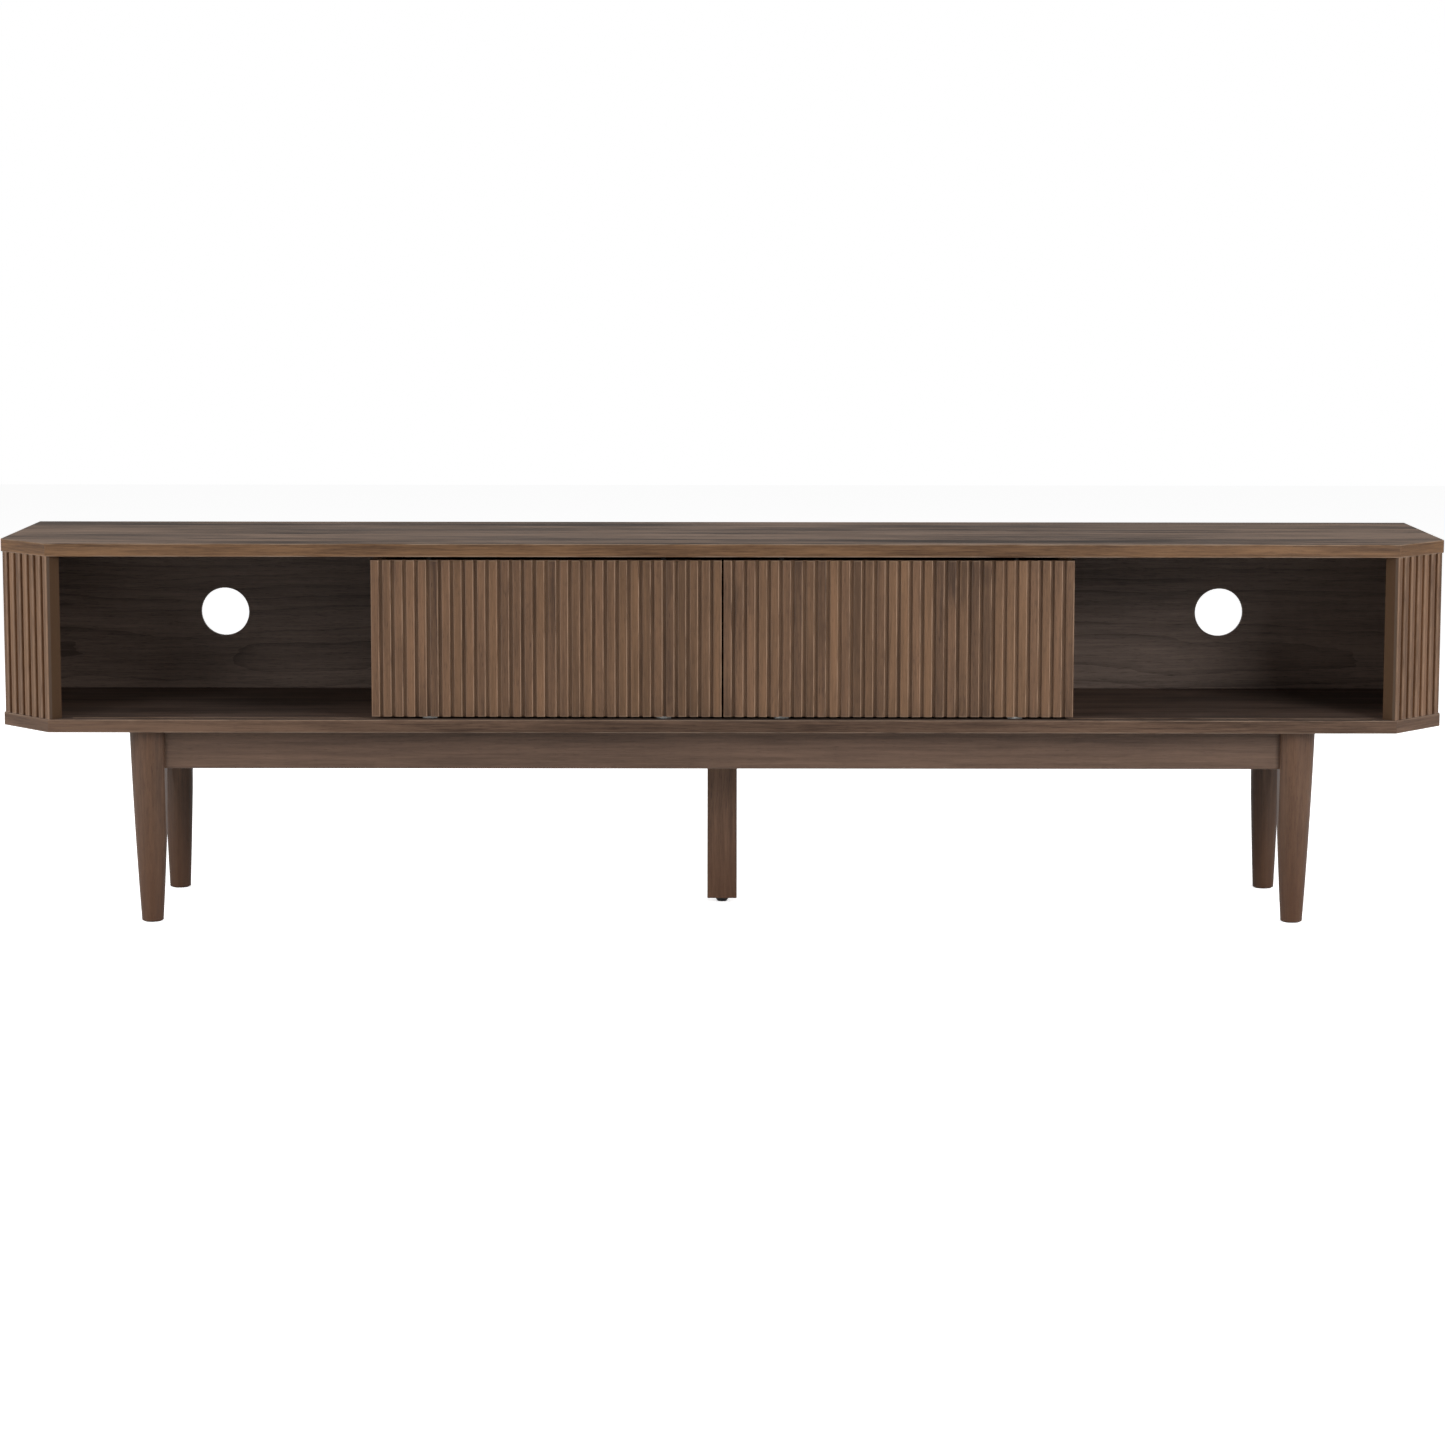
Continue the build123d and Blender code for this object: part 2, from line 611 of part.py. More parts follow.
def make_top_guides(name, side):
    """The two plastic pins that run in the top groove."""
    with BuildPart() as top_guides:
        for x in guide_xs(side):
            rod((x, GROOVE_Y, DOOR_TOP), DOWN, TOP_GUIDE_RADIUS, TOP_GUIDE_DEEP)
            rod((x, GROOVE_Y, DOOR_TOP), UP, TOP_PIN_RADIUS, TOP_PIN_HIGH)
    top_guides.part.label = f"{name}_door_top_guides"
    export_step(top_guides.part, f"parts/{top_guides.part.label}.step")


# ------------------------------------------------------------------ leg frame
def make_leg(name, side, leg_y, leg, end):
    """A turned leg with flats for the apron and the side rail."""
    toe = (leg["toe"], LEG_BOTTOM)
    waist = (leg["middle"], LEG_MIDDLE_Z)
    head = (leg["top"], BASE_HEIGHT)
    axis = Axis((side * LEG_X, leg_y, 0), UP)
    profile_plane = Plane(origin=axis.position, x_dir=(1, 0, 0), z_dir=(0, -1, 0))
    with BuildPart() as turned_leg:
        with BuildSketch(profile_plane) as profile:
            with BuildLine():
                ThreePointArc(toe, waist, head)
                Polyline(head, (0, BASE_HEIGHT), (0, LEG_BOTTOM), toe)
            make_face()
            toe_corner = profile.vertices().group_by(Axis.Y)[0].sort_by(Axis.X)[-1]
            fillet(toe_corner, LEG_TOE_ROUND)
        revolve(axis=axis)
        inner_flat = Plane(origin=(side * (LEG_X - leg["flat"]), 0, 0), z_dir=(side, 0, 0))
        split(bisect_by=inner_flat, keep=Keep.TOP)
        rail_flat = Plane(origin=(0, leg_y - end * leg["flat"], 0), z_dir=(0, end, 0))
        split(bisect_by=rail_flat, keep=Keep.TOP)
        for mouth, way in frame_dowel_lines(side, leg_y, leg, end, apron_of(end)):
            bore(mouth, way, DOWEL_RADIUS, FRAME_DOWEL_IN_LEG)
        start, way = bolt_line(side, leg_y, end)
        bore(start + way * BOLT_TIP, way, BOLT_RADIUS + FIT, leg["top"])
    turned_leg.part.label = name
    export_step(turned_leg.part, f"parts/{name}.step")


def make_apron(name, end, leg):
    """The long rail between the two legs at one end of the frame."""
    half = LEG_X - leg["flat"]
    middle_y = apron_of(end)
    with BuildPart() as apron:
        with BuildSketch(Plane.XY.offset(RAIL_BOTTOM)):
            with Locations((0, middle_y)):
                Rectangle(2 * half, RAIL_THICK)
        extrude(amount=RAIL_HEIGHT)
        fillet(apron.edges().filter_by(Axis.X).group_by(Axis.Z)[0], 2 * ARRIS)
        for z in FRAME_DOWEL_ZS:
            for side in SIDES.values():
                bore((side * half, middle_y, z), (-side, 0, 0), DOWEL_RADIUS, FRAME_DOWEL_IN_RAIL)
            inner = (0, middle_y - end * RAIL_THICK / 2, z)
            bore(inner, (0, end, 0), DOWEL_RADIUS, FRAME_DOWEL_IN_LEG)
    apron.part.label = name
    export_step(apron.part, f"parts/{name}.step")


def make_side_rail(name, side):
    """The short rail between the front and rear leg of one side."""
    front_y = FRONT_LEG_Y + FRONT_LEG["flat"]
    rear_y = REAR_LEG_Y - REAR_LEG["flat"]
    with BuildPart() as side_rail:
        with BuildSketch(Plane.XY.offset(RAIL_BOTTOM)):
            with Locations((side * LEG_X, (front_y + rear_y) / 2)):
                Rectangle(RAIL_THICK, rear_y - front_y)
        extrude(amount=RAIL_HEIGHT)
        fillet(side_rail.edges().filter_by(Axis.Y).group_by(Axis.Z)[0], 2 * ARRIS)
        for z in FRAME_DOWEL_ZS:
            bore((side * LEG_X, front_y, z), (0, 1, 0), DOWEL_RADIUS, FRAME_DOWEL_IN_RAIL)
            bore((side * LEG_X, rear_y, z), (0, -1, 0), DOWEL_RADIUS, FRAME_DOWEL_IN_RAIL)
        screw_at = (side * LEG_X, SIDE_RAIL_SCREW_Y, RAIL_BOTTOM)
        bore(screw_at, UP, RAIL_SCREW_RADIUS + FIT, RAIL_HEIGHT)
        bore(screw_at, UP, 2 * RAIL_SCREW_RADIUS + FIT, RAIL_SCREW_SEAT - RAIL_BOTTOM)
    side_rail.part.label = f"{name}_side_rail"
    export_step(side_rail.part, f"parts/{side_rail.part.label}.step")


HANGER_RADIUS = 4.0
HANGER_IN_LEG = 30.0
HANGER_IN_RAIL = 30.0

with BuildPart() as centre_cross_rail:
    cross_front_y = FRONT_APRON_Y + RAIL_THICK / 2
    cross_rear_y = REAR_APRON_Y - RAIL_THICK / 2
    with BuildSketch(Plane.XY.offset(RAIL_BOTTOM)):
        with Locations((0, (cross_front_y + cross_rear_y) / 2)):
            Rectangle(CROSS_RAIL_WIDTH, cross_rear_y - cross_front_y)
    extrude(amount=RAIL_HEIGHT)
    fillet(centre_cross_rail.edges().filter_by(Axis.Y).group_by(Axis.Z)[0], 2 * ARRIS)
    for mouth, way in cross_dowel_lines():
        bore(mouth, -way, DOWEL_RADIUS, FRAME_DOWEL_IN_RAIL)
    for screw_y in CROSS_RAIL_SCREW_YS:
        screw_at = (0, screw_y, RAIL_BOTTOM)
        bore(screw_at, UP, RAIL_SCREW_RADIUS + FIT, RAIL_HEIGHT)
        bore(screw_at, UP, 2 * RAIL_SCREW_RADIUS + FIT, RAIL_SCREW_SEAT - RAIL_BOTTOM)
    bore((0, CENTRE_LEG_Y, RAIL_BOTTOM), UP, HANGER_RADIUS + FIT, HANGER_IN_RAIL)
centre_cross_rail.part.label = "centre_cross_rail"
export_step(centre_cross_rail.part, "parts/centre_cross_rail.step")

with BuildPart() as rail_screws:
    for x, y in rail_screw_places():
        seat = (x, y, RAIL_SCREW_SEAT)
        rod(seat, UP, RAIL_SCREW_RADIUS, RAIL_SCREW_LENGTH)
        rod(seat, DOWN, 2 * RAIL_SCREW_RADIUS, SCREW_HEAD_THICK)
rail_screws.part.label = "rail_screws"
export_step(rail_screws.part, "parts/rail_screws.step")

with BuildPart() as corner_blocks:
    for side in SIDES.values():
        for leg_y, leg, end in LEGS.values():
            inner_y = apron_of(end) - end * RAIL_THICK / 2
            block_outline = [
                (side * (RAIL_INNER_X - BLOCK_INNER), inner_y),
                (side * (RAIL_INNER_X - BLOCK_OUTER), inner_y),
                (side * RAIL_INNER_X, inner_y - end * BLOCK_OUTER),
                (side * RAIL_INNER_X, inner_y - end * BLOCK_INNER),
            ]
            prism(block_outline, BLOCK_BOTTOM, BASE_HEIGHT - BLOCK_BOTTOM)
    for side in SIDES.values():
        for leg_y, leg, end in LEGS.values():
            start, way = bolt_line(side, leg_y, end)
            bore(start, way, BOLT_RADIUS + BOLT_PLAY, BOLT_HOLE_LENGTH)
    for x, y in all_block_screw_places():
        bore((x, y, BLOCK_BOTTOM), UP, BLOCK_SCREW_RADIUS + FIT, BASE_HEIGHT - BLOCK_BOTTOM)
corner_blocks.part.label = "corner_blocks"
export_step(corner_blocks.part, "parts/corner_blocks.step")

with BuildPart() as block_screws:
    for x, y in all_block_screw_places():
        rod((x, y, BLOCK_BOTTOM), UP, BLOCK_SCREW_RADIUS, BLOCK_SCREW_LENGTH)
        rod((x, y, BLOCK_BOTTOM), DOWN, 2 * BLOCK_SCREW_RADIUS, SCREW_HEAD_THICK)
block_screws.part.label = "block_screws"
export_step(block_screws.part, "parts/block_screws.step")


def each_bolt():
    """For every leg: the bolt's start, its direction and the block's inner face."""
    for side in SIDES.values():
        for leg_y, leg, end in LEGS.values():
            start, way = bolt_line(side, leg_y, end)
            yield start, way, block_face_distance(leg_y, end, apron_of(end))


with BuildPart() as leg_bolts:
    for start, way, face in each_bolt():
        length = face + WASHER_THICK + NUT_THICK + BOLT_PAST_NUT - BOLT_TIP
        rod(start + way * BOLT_TIP, way, BOLT_RADIUS, length)
leg_bolts.part.label = "leg_bolts"
export_step(leg_bolts.part, "parts/leg_bolts.step")

with BuildPart() as leg_washers:
    for start, way, face in each_bolt():
        rod(start + way * face, way, WASHER_RADIUS, WASHER_THICK)
    for start, way, face in each_bolt():
        bore(start + way * face, way, BOLT_RADIUS + FIT, WASHER_THICK)
leg_washers.part.label = "leg_washers"
export_step(leg_washers.part, "parts/leg_washers.step")

with BuildPart() as leg_nuts:
    for start, way, face in each_bolt():
        seat = start + way * (face + WASHER_THICK)
        with BuildSketch(Plane(origin=seat, x_dir=UP, z_dir=way)) as hexagon:
            RegularPolygon(NUT_RADIUS, 6)
            Circle(BOLT_RADIUS + FIT, mode=Mode.SUBTRACT)
        extrude(hexagon.sketch, amount=NUT_THICK)
leg_nuts.part.label = "leg_nuts"
export_step(leg_nuts.part, "parts/leg_nuts.step")

with BuildPart() as frame_dowels:
    dowel_length = FRAME_DOWEL_IN_RAIL + FRAME_DOWEL_IN_LEG
    for side in SIDES.values():
        for leg_y, leg, end in LEGS.values():
            for mouth, way in frame_dowel_lines(side, leg_y, leg, end, apron_of(end)):
                start = mouth - way * FRAME_DOWEL_IN_RAIL
                rod(start, way, DOWEL_RADIUS - FIT, dowel_length)
    for mouth, way in cross_dowel_lines():
        start = mouth - way * FRAME_DOWEL_IN_RAIL
        rod(start, way, DOWEL_RADIUS - FIT, dowel_length)
frame_dowels.part.label = "frame_dowels"
export_step(frame_dowels.part, "parts/frame_dowels.step")

with BuildPart() as leg_pads:
    for side in SIDES.values():
        for leg_y, leg, end in LEGS.values():
            rod((side * LEG_X, leg_y, 0), UP, PAD_RADIUS, LEG_BOTTOM)
leg_pads.part.label = "leg_pads"
export_step(leg_pads.part, "parts/leg_pads.step")


# ------------------------------------------------- centre leg and its leveller
STEM_RADIUS = 3.0
STEM_TOP = 34.0
RUNNING_FIT = 0.05
NUT_FLANGE = (7.5, 1.0)
INSERT_RADIUS = 5.0
INSERT_TOP = 22.0
STEM_WELL_TOP = 40.0
STEM_WELL_PLAY = 0.6
STEM_POINT = 1.0
FOOT_GAP = 0.3
FOOT_SOLE_RADIUS = 6.6
FOOT_BEND = (7.4, 0.8)
FOOT_RADIUS = 8.7
FOOT_WIDEST_Z = 4.0
FOOT_EDGE = 0.8

with BuildPart() as centre_leg:
    with BuildSketch(Plane.XY.offset(CENTRE_LEG_BOTTOM)):
        with Locations((0, CENTRE_LEG_Y)):
            Rectangle(CENTRE_LEG, CENTRE_LEG)
    extrude(amount=RAIL_BOTTOM - CENTRE_LEG_BOTTOM)
    fillet(centre_leg.edges().filter_by(Axis.Z), 2 * ARRIS)
    fillet(centre_leg.edges().group_by(Axis.Z)[0], ARRIS)
    foot_centre = (0, CENTRE_LEG_Y, CENTRE_LEG_BOTTOM)
    bore(foot_centre, UP, NUT_FLANGE[0] + FIT, NUT_FLANGE[1])
    bore(foot_centre, UP, INSERT_RADIUS + FIT, INSERT_TOP - CENTRE_LEG_BOTTOM)
    bore(foot_centre, UP, STEM_RADIUS + STEM_WELL_PLAY, STEM_WELL_TOP - CENTRE_LEG_BOTTOM)
    bore((0, CENTRE_LEG_Y, RAIL_BOTTOM), DOWN, HANGER_RADIUS + FIT, HANGER_IN_LEG)
centre_leg.part.label = "centre_leg"
export_step(centre_leg.part, "parts/centre_leg.step")

with BuildPart() as centre_leg_bolt:
    bolt_start = (0, CENTRE_LEG_Y, RAIL_BOTTOM - HANGER_IN_LEG)
    rod(bolt_start, UP, HANGER_RADIUS, HANGER_IN_LEG + HANGER_IN_RAIL)
centre_leg_bolt.part.label = "centre_leg_bolt"
export_step(centre_leg_bolt.part, "parts/centre_leg_bolt.step")

with BuildPart() as leveller_insert:
    rod(foot_centre, UP, NUT_FLANGE[0], NUT_FLANGE[1])
    rod(foot_centre, UP, INSERT_RADIUS, INSERT_TOP - CENTRE_LEG_BOTTOM)
    bore(foot_centre, UP, STEM_RADIUS + RUNNING_FIT, INSERT_TOP - CENTRE_LEG_BOTTOM)
leveller_insert.part.label = "leveller_insert"
export_step(leveller_insert.part, "parts/leveller_insert.step")

with BuildPart() as levelling_foot:
    foot_plane = Plane(origin=(0, CENTRE_LEG_Y, 0), x_dir=(1, 0, 0), z_dir=(0, -1, 0))
    foot_top = CENTRE_LEG_BOTTOM - FOOT_GAP
    with BuildSketch(foot_plane):
        with BuildLine():
            Polyline(
                (0, 0),
                (FOOT_SOLE_RADIUS, 0),
                FOOT_BEND,
                (FOOT_RADIUS, FOOT_WIDEST_Z),
                (FOOT_RADIUS, foot_top - FOOT_EDGE),
                (FOOT_RADIUS - FOOT_EDGE, foot_top),
                (STEM_RADIUS, foot_top),
                (STEM_RADIUS, STEM_TOP - STEM_POINT),
                (STEM_RADIUS - STEM_POINT, STEM_TOP),
                (0, STEM_TOP),
                close=True,
            )
        make_face()
    revolve(axis=Axis((0, CENTRE_LEG_Y, 0), UP))
levelling_foot.part.label = "levelling_foot"
export_step(levelling_foot.part, "parts/levelling_foot.step")


# ------------------------------------------------- pieces made once per side
for side_name, side_sign in SIDES.items():
    make_side_board(side_name, side_sign)
    make_side_slats(side_name, side_sign)
    make_corner_board(side_name, side_sign)
    make_corner_slats(side_name, side_sign)
    make_partition(side_name, side_sign)
    make_door_board(side_name, side_sign)
    make_door_slats(side_name, side_sign)
    make_bottom_guides(side_name, side_sign)
    make_guide_screws(side_name, side_sign)
    make_top_guides(side_name, side_sign)
    make_side_rail(side_name, side_sign)
    for end_name, (leg_line_y, leg_sizes, end_sign) in LEGS.items():
        leg_name = f"{end_name}_{side_name}_leg"
        make_leg(leg_name, side_sign, leg_line_y, leg_sizes, end_sign)

for end_name, (leg_line_y, leg_sizes, end_sign) in LEGS.items():
    make_apron(f"{end_name}_apron", end_sign, leg_sizes)
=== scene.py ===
"""Looks of the media cabinet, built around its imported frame. Lengths are in metres."""

import math

import bmesh
import bpy
from mathutils import Matrix, Vector


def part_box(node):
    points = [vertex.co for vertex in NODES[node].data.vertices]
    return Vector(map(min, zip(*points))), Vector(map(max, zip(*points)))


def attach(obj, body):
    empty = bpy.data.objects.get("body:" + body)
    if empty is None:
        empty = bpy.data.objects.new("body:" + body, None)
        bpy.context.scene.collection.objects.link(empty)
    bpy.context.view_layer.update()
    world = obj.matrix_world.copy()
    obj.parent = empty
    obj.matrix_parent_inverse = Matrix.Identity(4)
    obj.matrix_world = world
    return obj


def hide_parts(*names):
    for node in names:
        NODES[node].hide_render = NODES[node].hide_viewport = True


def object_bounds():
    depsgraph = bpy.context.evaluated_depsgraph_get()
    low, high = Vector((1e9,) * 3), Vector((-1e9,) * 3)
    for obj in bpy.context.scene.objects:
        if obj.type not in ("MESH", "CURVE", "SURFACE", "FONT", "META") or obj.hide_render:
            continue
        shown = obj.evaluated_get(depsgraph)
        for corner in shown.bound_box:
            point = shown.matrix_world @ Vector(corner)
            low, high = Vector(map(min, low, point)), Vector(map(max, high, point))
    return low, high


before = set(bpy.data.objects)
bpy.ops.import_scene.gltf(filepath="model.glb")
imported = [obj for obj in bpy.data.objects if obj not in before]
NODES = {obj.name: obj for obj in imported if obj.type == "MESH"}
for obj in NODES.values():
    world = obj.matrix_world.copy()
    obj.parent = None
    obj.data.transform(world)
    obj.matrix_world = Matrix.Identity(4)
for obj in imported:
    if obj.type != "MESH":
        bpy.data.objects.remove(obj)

CAD_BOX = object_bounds()
MM = 0.001
SIDES = {"left": -1, "right": 1}

# ------------------------------------------------------------------- driving sizes
SLAT_WIDTH = 11.4 * MM
CORNER_PITCH = 17.2 * MM
CORNER_START = -1.3 * MM
SIDE_SLATS = 19
DOOR_SLATS = 30
CORNER_CUT = (75.0 * MM, 85.0 * MM)
HALF_WIDTH = CAD_BOX[1].x
HALF_DEPTH = CAD_BOX[1].y
CUT_LENGTH = math.hypot(*CORNER_CUT)

# ------------------------------------------------------------------- small pieces
SCREW_SIDES = 32
SCREW_TIP_REACH = 0.1 * MM
STEM_TIP_REACH = 1.5 * MM
SAME_PLACE = 0.001 * MM
SAME_POINT = 0.005 * MM
HEAD_DOME = ((0.80, 0.0), (0.93, -0.10), (1.0, -0.34), (1.0, -1.0))  # of radius and thickness
POINT_START = 1.5
POINT_RADIUS = 0.3
RECESS_ARM = 0.56
RECESS_HALF = 0.13
RECESS_DEPTH = 0.62
RECESS_TAPER = 0.72
FOOT_SIDES = 144
FOOT_LOBES = 12
FOOT_DIP = 0.45 * MM
FOOT_SOLE = ((0.72, 0.0), (0.80, 0.4 * MM), (0.84, 1.0 * MM), (0.96, 2.6 * MM), (1.0, 3.6 * MM))
FOOT_SHOULDER = ((1.0, -0.9 * MM), (0.93, -0.2 * MM), (0.86, 0.0))
SCALLOPED_FROM = 0.92
KNOB_FROM = 0.85
SMOOTH_ANGLE = math.radians(32.0)

# ------------------------------------------------------------------- camera
CAMERA_PLACE = Vector((-0.0095, -5.4959, 0.9621))
CAMERA_DOWN = 0.1272
CAMERA_YAW = 0.0018
CAMERA_ROLL = 0.0012
CAMERA_LENS = 96.97
CAMERA_SENSOR = 36.0
RIGHT_ANGLE = math.pi / 2

# ------------------------------------------------------------------- studio
PAPER = (0.9, 0.9, 0.9, 1.0)
WORLD_LIGHT = 0.30
PAPER_SEEN = 1.0
FLOOR_LIFT = 0.68
FLOOR_HALF = 9.0
SOFTBOXES = {
    "right_softbox": {"place": (2.1, -2.6, 1.50), "size": 1.2, "power": 69.0},
    "left_softbox": {"place": (-2.1, -2.6, 1.50), "size": 1.2, "power": 32.0},
    "left_side_softbox": {"place": (-3.0, -0.9, 1.2), "size": 1.4, "power": 50.0},
    "right_side_softbox": {"place": (3.0, -0.9, 1.2), "size": 1.4, "power": 29.0},
    "overhead_softbox": {"place": (0.3, -0.9, 3.2), "size": 2.4, "power": 30.0},
    "rear_softbox": {"place": (0.0, 3.0, 1.3), "size": 1.8, "power": 34.0},
}
AIM = (0.0, 0.0, 0.35)

# ------------------------------------------------------------------- finishes, linear colours
GRAIN_X = (0.0, 0.0, 0.0)
GRAIN_Y = (0.0, 0.0, -RIGHT_ANGLE)
GRAIN_Z = (0.0, RIGHT_ANGLE, 0.0)
TOP_FACE = {"dark": (0.018, 0.010, 0.006), "light": (0.192, 0.128, 0.090)}
TOP_EDGE = {"dark": (0.042, 0.019, 0.007), "light": (0.138, 0.072, 0.033)}
BOTTOM_FACE = {"dark": (0.024, 0.014, 0.010), "light": (0.086, 0.055, 0.041)}
BOTTOM_EDGE = {"dark": (0.028, 0.015, 0.009), "light": (0.100, 0.059, 0.038)}
SLAT_TONES = {"dark": (0.033, 0.015, 0.006), "light": (0.134, 0.070, 0.036)}
PANEL_TONES = {"dark": (0.046, 0.032, 0.025), "light": (0.205, 0.150, 0.122)}
# painted light: the upright panels behind the slats are made lighter to lift the shade at the
# bottom of the slat grooves
GROUND_LIT_TONES = {"dark": (0.078, 0.039, 0.018), "light": (0.160, 0.088, 0.047)}
# painted light: the corner boards are made far lighter than their walnut to lift the shade at the
# bottom of the slat grooves
CORNER_GROUND_LIT_TONES = {"dark": (0.300, 0.162, 0.084), "light": (0.560, 0.340, 0.204)}
FRAME_TONES = {"dark": (0.036, 0.019, 0.011), "light": (0.110, 0.065, 0.043)}
LEG_TONES = {"dark": (0.030, 0.013, 0.006), "light": (0.106, 0.054, 0.029)}
# painted shade: the rear legs are the same walnut as the front ones, made darker
REAR_LEG_SHADED_TONES = {"dark": (0.020, 0.009, 0.004), "light": (0.078, 0.039, 0.020)}
# painted shade for the cut ends of the corner panels
END_SHADE_TONE = (0.046, 0.023, 0.010)
TOE_TONE = (0.058, 0.021, 0.007)
# painted highlight on the slats' rounded edges, where the light from the right catches them
ARRIS_HIGHLIGHT_TONE = (0.270, 0.170, 0.108)
# painted light: the centre leg is the same walnut, made lighter to lift the shade under the cabinet
CENTRE_LEG_LIT_TONES = {"dark": (0.044, 0.021, 0.011), "light": (0.176, 0.097, 0.057)}
BLOCK_TONES = {"dark": (0.10, 0.065, 0.045), "light": (0.22, 0.15, 0.105)}
BEECH_TONES = {"dark": (0.36, 0.22, 0.12), "light": (0.60, 0.42, 0.26)}
# painted highlight colours along the edges of the board bands and the slat ends
BAND_HIGHLIGHT_TONE = (0.26, 0.19, 0.14)
SLAT_END_HIGHLIGHT_TONE = (0.23, 0.16, 0.11)
WARM_TONE = (0.20, 0.105, 0.045)
DUST_TONE = (0.30, 0.28, 0.26)
# strength of the painted highlight on the slats' rounded edges
ARRIS_HIGHLIGHT_STRENGTH = 0.7

# Noise frequencies along and across the grain
BEND_STRETCH = (1.3, 4.0, 4.0)
RIPPLE_STRETCH = (9.0, 40.0, 40.0)
BROAD_STRETCH = (2.2, 26.0, 26.0)
STREAK_STRETCH = (8.0, 240.0, 240.0)
FIBRE_STRETCH = (30.0, 1100.0, 1100.0)
SLOW_STRETCH = (1.7, 5.0, 5.0)
PORE_STRETCH = (75.0, 1900.0, 1900.0)

# Stain marks on the right door: centre, reach and strength
DOOR_SMUDGES = (
    ((0.321, -0.19, 0.480), (0.026, 0.5, 0.048), 0.42),
    ((0.352, -0.19, 0.487), (0.020, 0.5, 0.020), 0.32),
    ((0.328, -0.19, 0.308), (0.012, 0.5, 0.014), 0.30),
    ((0.024, -0.19, 0.452), (0.020, 0.5, 0.030), 0.22),
    ((0.150, -0.19, 0.330), (0.016, 0.5, 0.020), 0.18),
)


# =================================================================== node trees
class Wiring:
    """Adds nodes to one tree and feeds their inputs from values or other sockets."""

    def __init__(self, tree):
        self.tree = tree

    def feed(self, socket, value):
        if isinstance(value, bpy.types.NodeSocket):
            self.tree.links.new(value, socket)
        else:
            socket.default_value = value

    def add(self, kind, inputs=None, **settings):
        node = self.tree.nodes.new(kind)
        for name, value in settings.items():
            setattr(node, name, value)
        for name, value in (inputs or {}).items():
            self.feed(node.inputs[name], value)
        return node

    def math(self, operation, *values, clamp=False):
        node = self.add("ShaderNodeMath", operation=operation, use_clamp=clamp)
        for socket, value in zip(node.inputs, values):
            self.feed(socket, value)
        return node.outputs["Value"]

    def vector(self, operation, *values):
        node = self.add("ShaderNodeVectorMath", operation=operation)
        for socket, value in zip(node.inputs, values):
            self.feed(socket, value)
        return node.outputs["Value" if operation in ("LENGTH", "DOT_PRODUCT") else "Vector"]

    def mix(self, factor, first, second):
        node = self.add("ShaderNodeMix", data_type="RGBA")
        self.feed(node.inputs[0], factor)
        self.feed(node.inputs[6], rgba(first))
        self.feed(node.inputs[7], rgba(second))
        return node.outputs[2]

    def step(self, value, low, high):
        """0 at low and 1 at high; low may be the larger of the two."""
        flip = low > high
        node = self.add("ShaderNodeMapRange", interpolation_type="SMOOTHSTEP")
        self.feed(node.inputs["Value"], value)
        self.feed(node.inputs["From Min"], min(low, high))
        self.feed(node.inputs["From Max"], max(low, high))
        self.feed(node.inputs["To Min"], 1.0 if flip else 0.0)
        self.feed(node.inputs["To Max"], 0.0 if flip else 1.0)
        return node.outputs["Result"]

    def noise(self, place, detail=2.0, roughness=0.5, scale=1.0):
        settings = {"Vector": place, "Scale": scale, "Detail": detail, "Roughness": roughness}
        return self.add("ShaderNodeTexNoise", settings).outputs["Fac"]

    def pattern(self, place, stretch, detail=2.0, roughness=0.5):
        """Noise with its own frequency along each axis of the piece."""
        return self.noise(self.vector("MULTIPLY", place, stretch), detail, roughness)

    def swing(self, value, weight):
        """A 0 to 1 value turned into a swing either side of zero."""
        return self.math("MULTIPLY", self.math("SUBTRACT", value, 0.5), weight)

    def split(self, place):
        return self.add("ShaderNodeSeparateXYZ", {"Vector": place}).outputs

    def join(self, x, y, z):
        return self.add("ShaderNodeCombineXYZ", {"X": x, "Y": y, "Z": z}).outputs["Vector"]


def rgba(colour):
    """A colour socket's value from three numbers; sockets pass through."""
    if isinstance(colour, bpy.types.NodeSocket) or len(colour) == 4:
        return colour
    return (*colour, 1.0)


def new_group(name, inputs, outputs):
    """An empty shader group with named sockets, and the wiring to fill it."""
    group = bpy.data.node_groups.new(name, "ShaderNodeTree")
    for label, kind, default in inputs:
        socket = group.interface.new_socket(label, in_out="INPUT", socket_type=kind)
        if default is not None:
            socket.default_value = default
    for label, kind in outputs:
        group.interface.new_socket(label, in_out="OUTPUT", socket_type=kind)
    wiring = Wiring(group)
    entry = wiring.add("NodeGroupInput").outputs
    leave = wiring.add("NodeGroupOutput").inputs
    return group, wiring, entry, leave


FLOAT, VECTOR = "NodeSocketFloat", "NodeSocketVector"


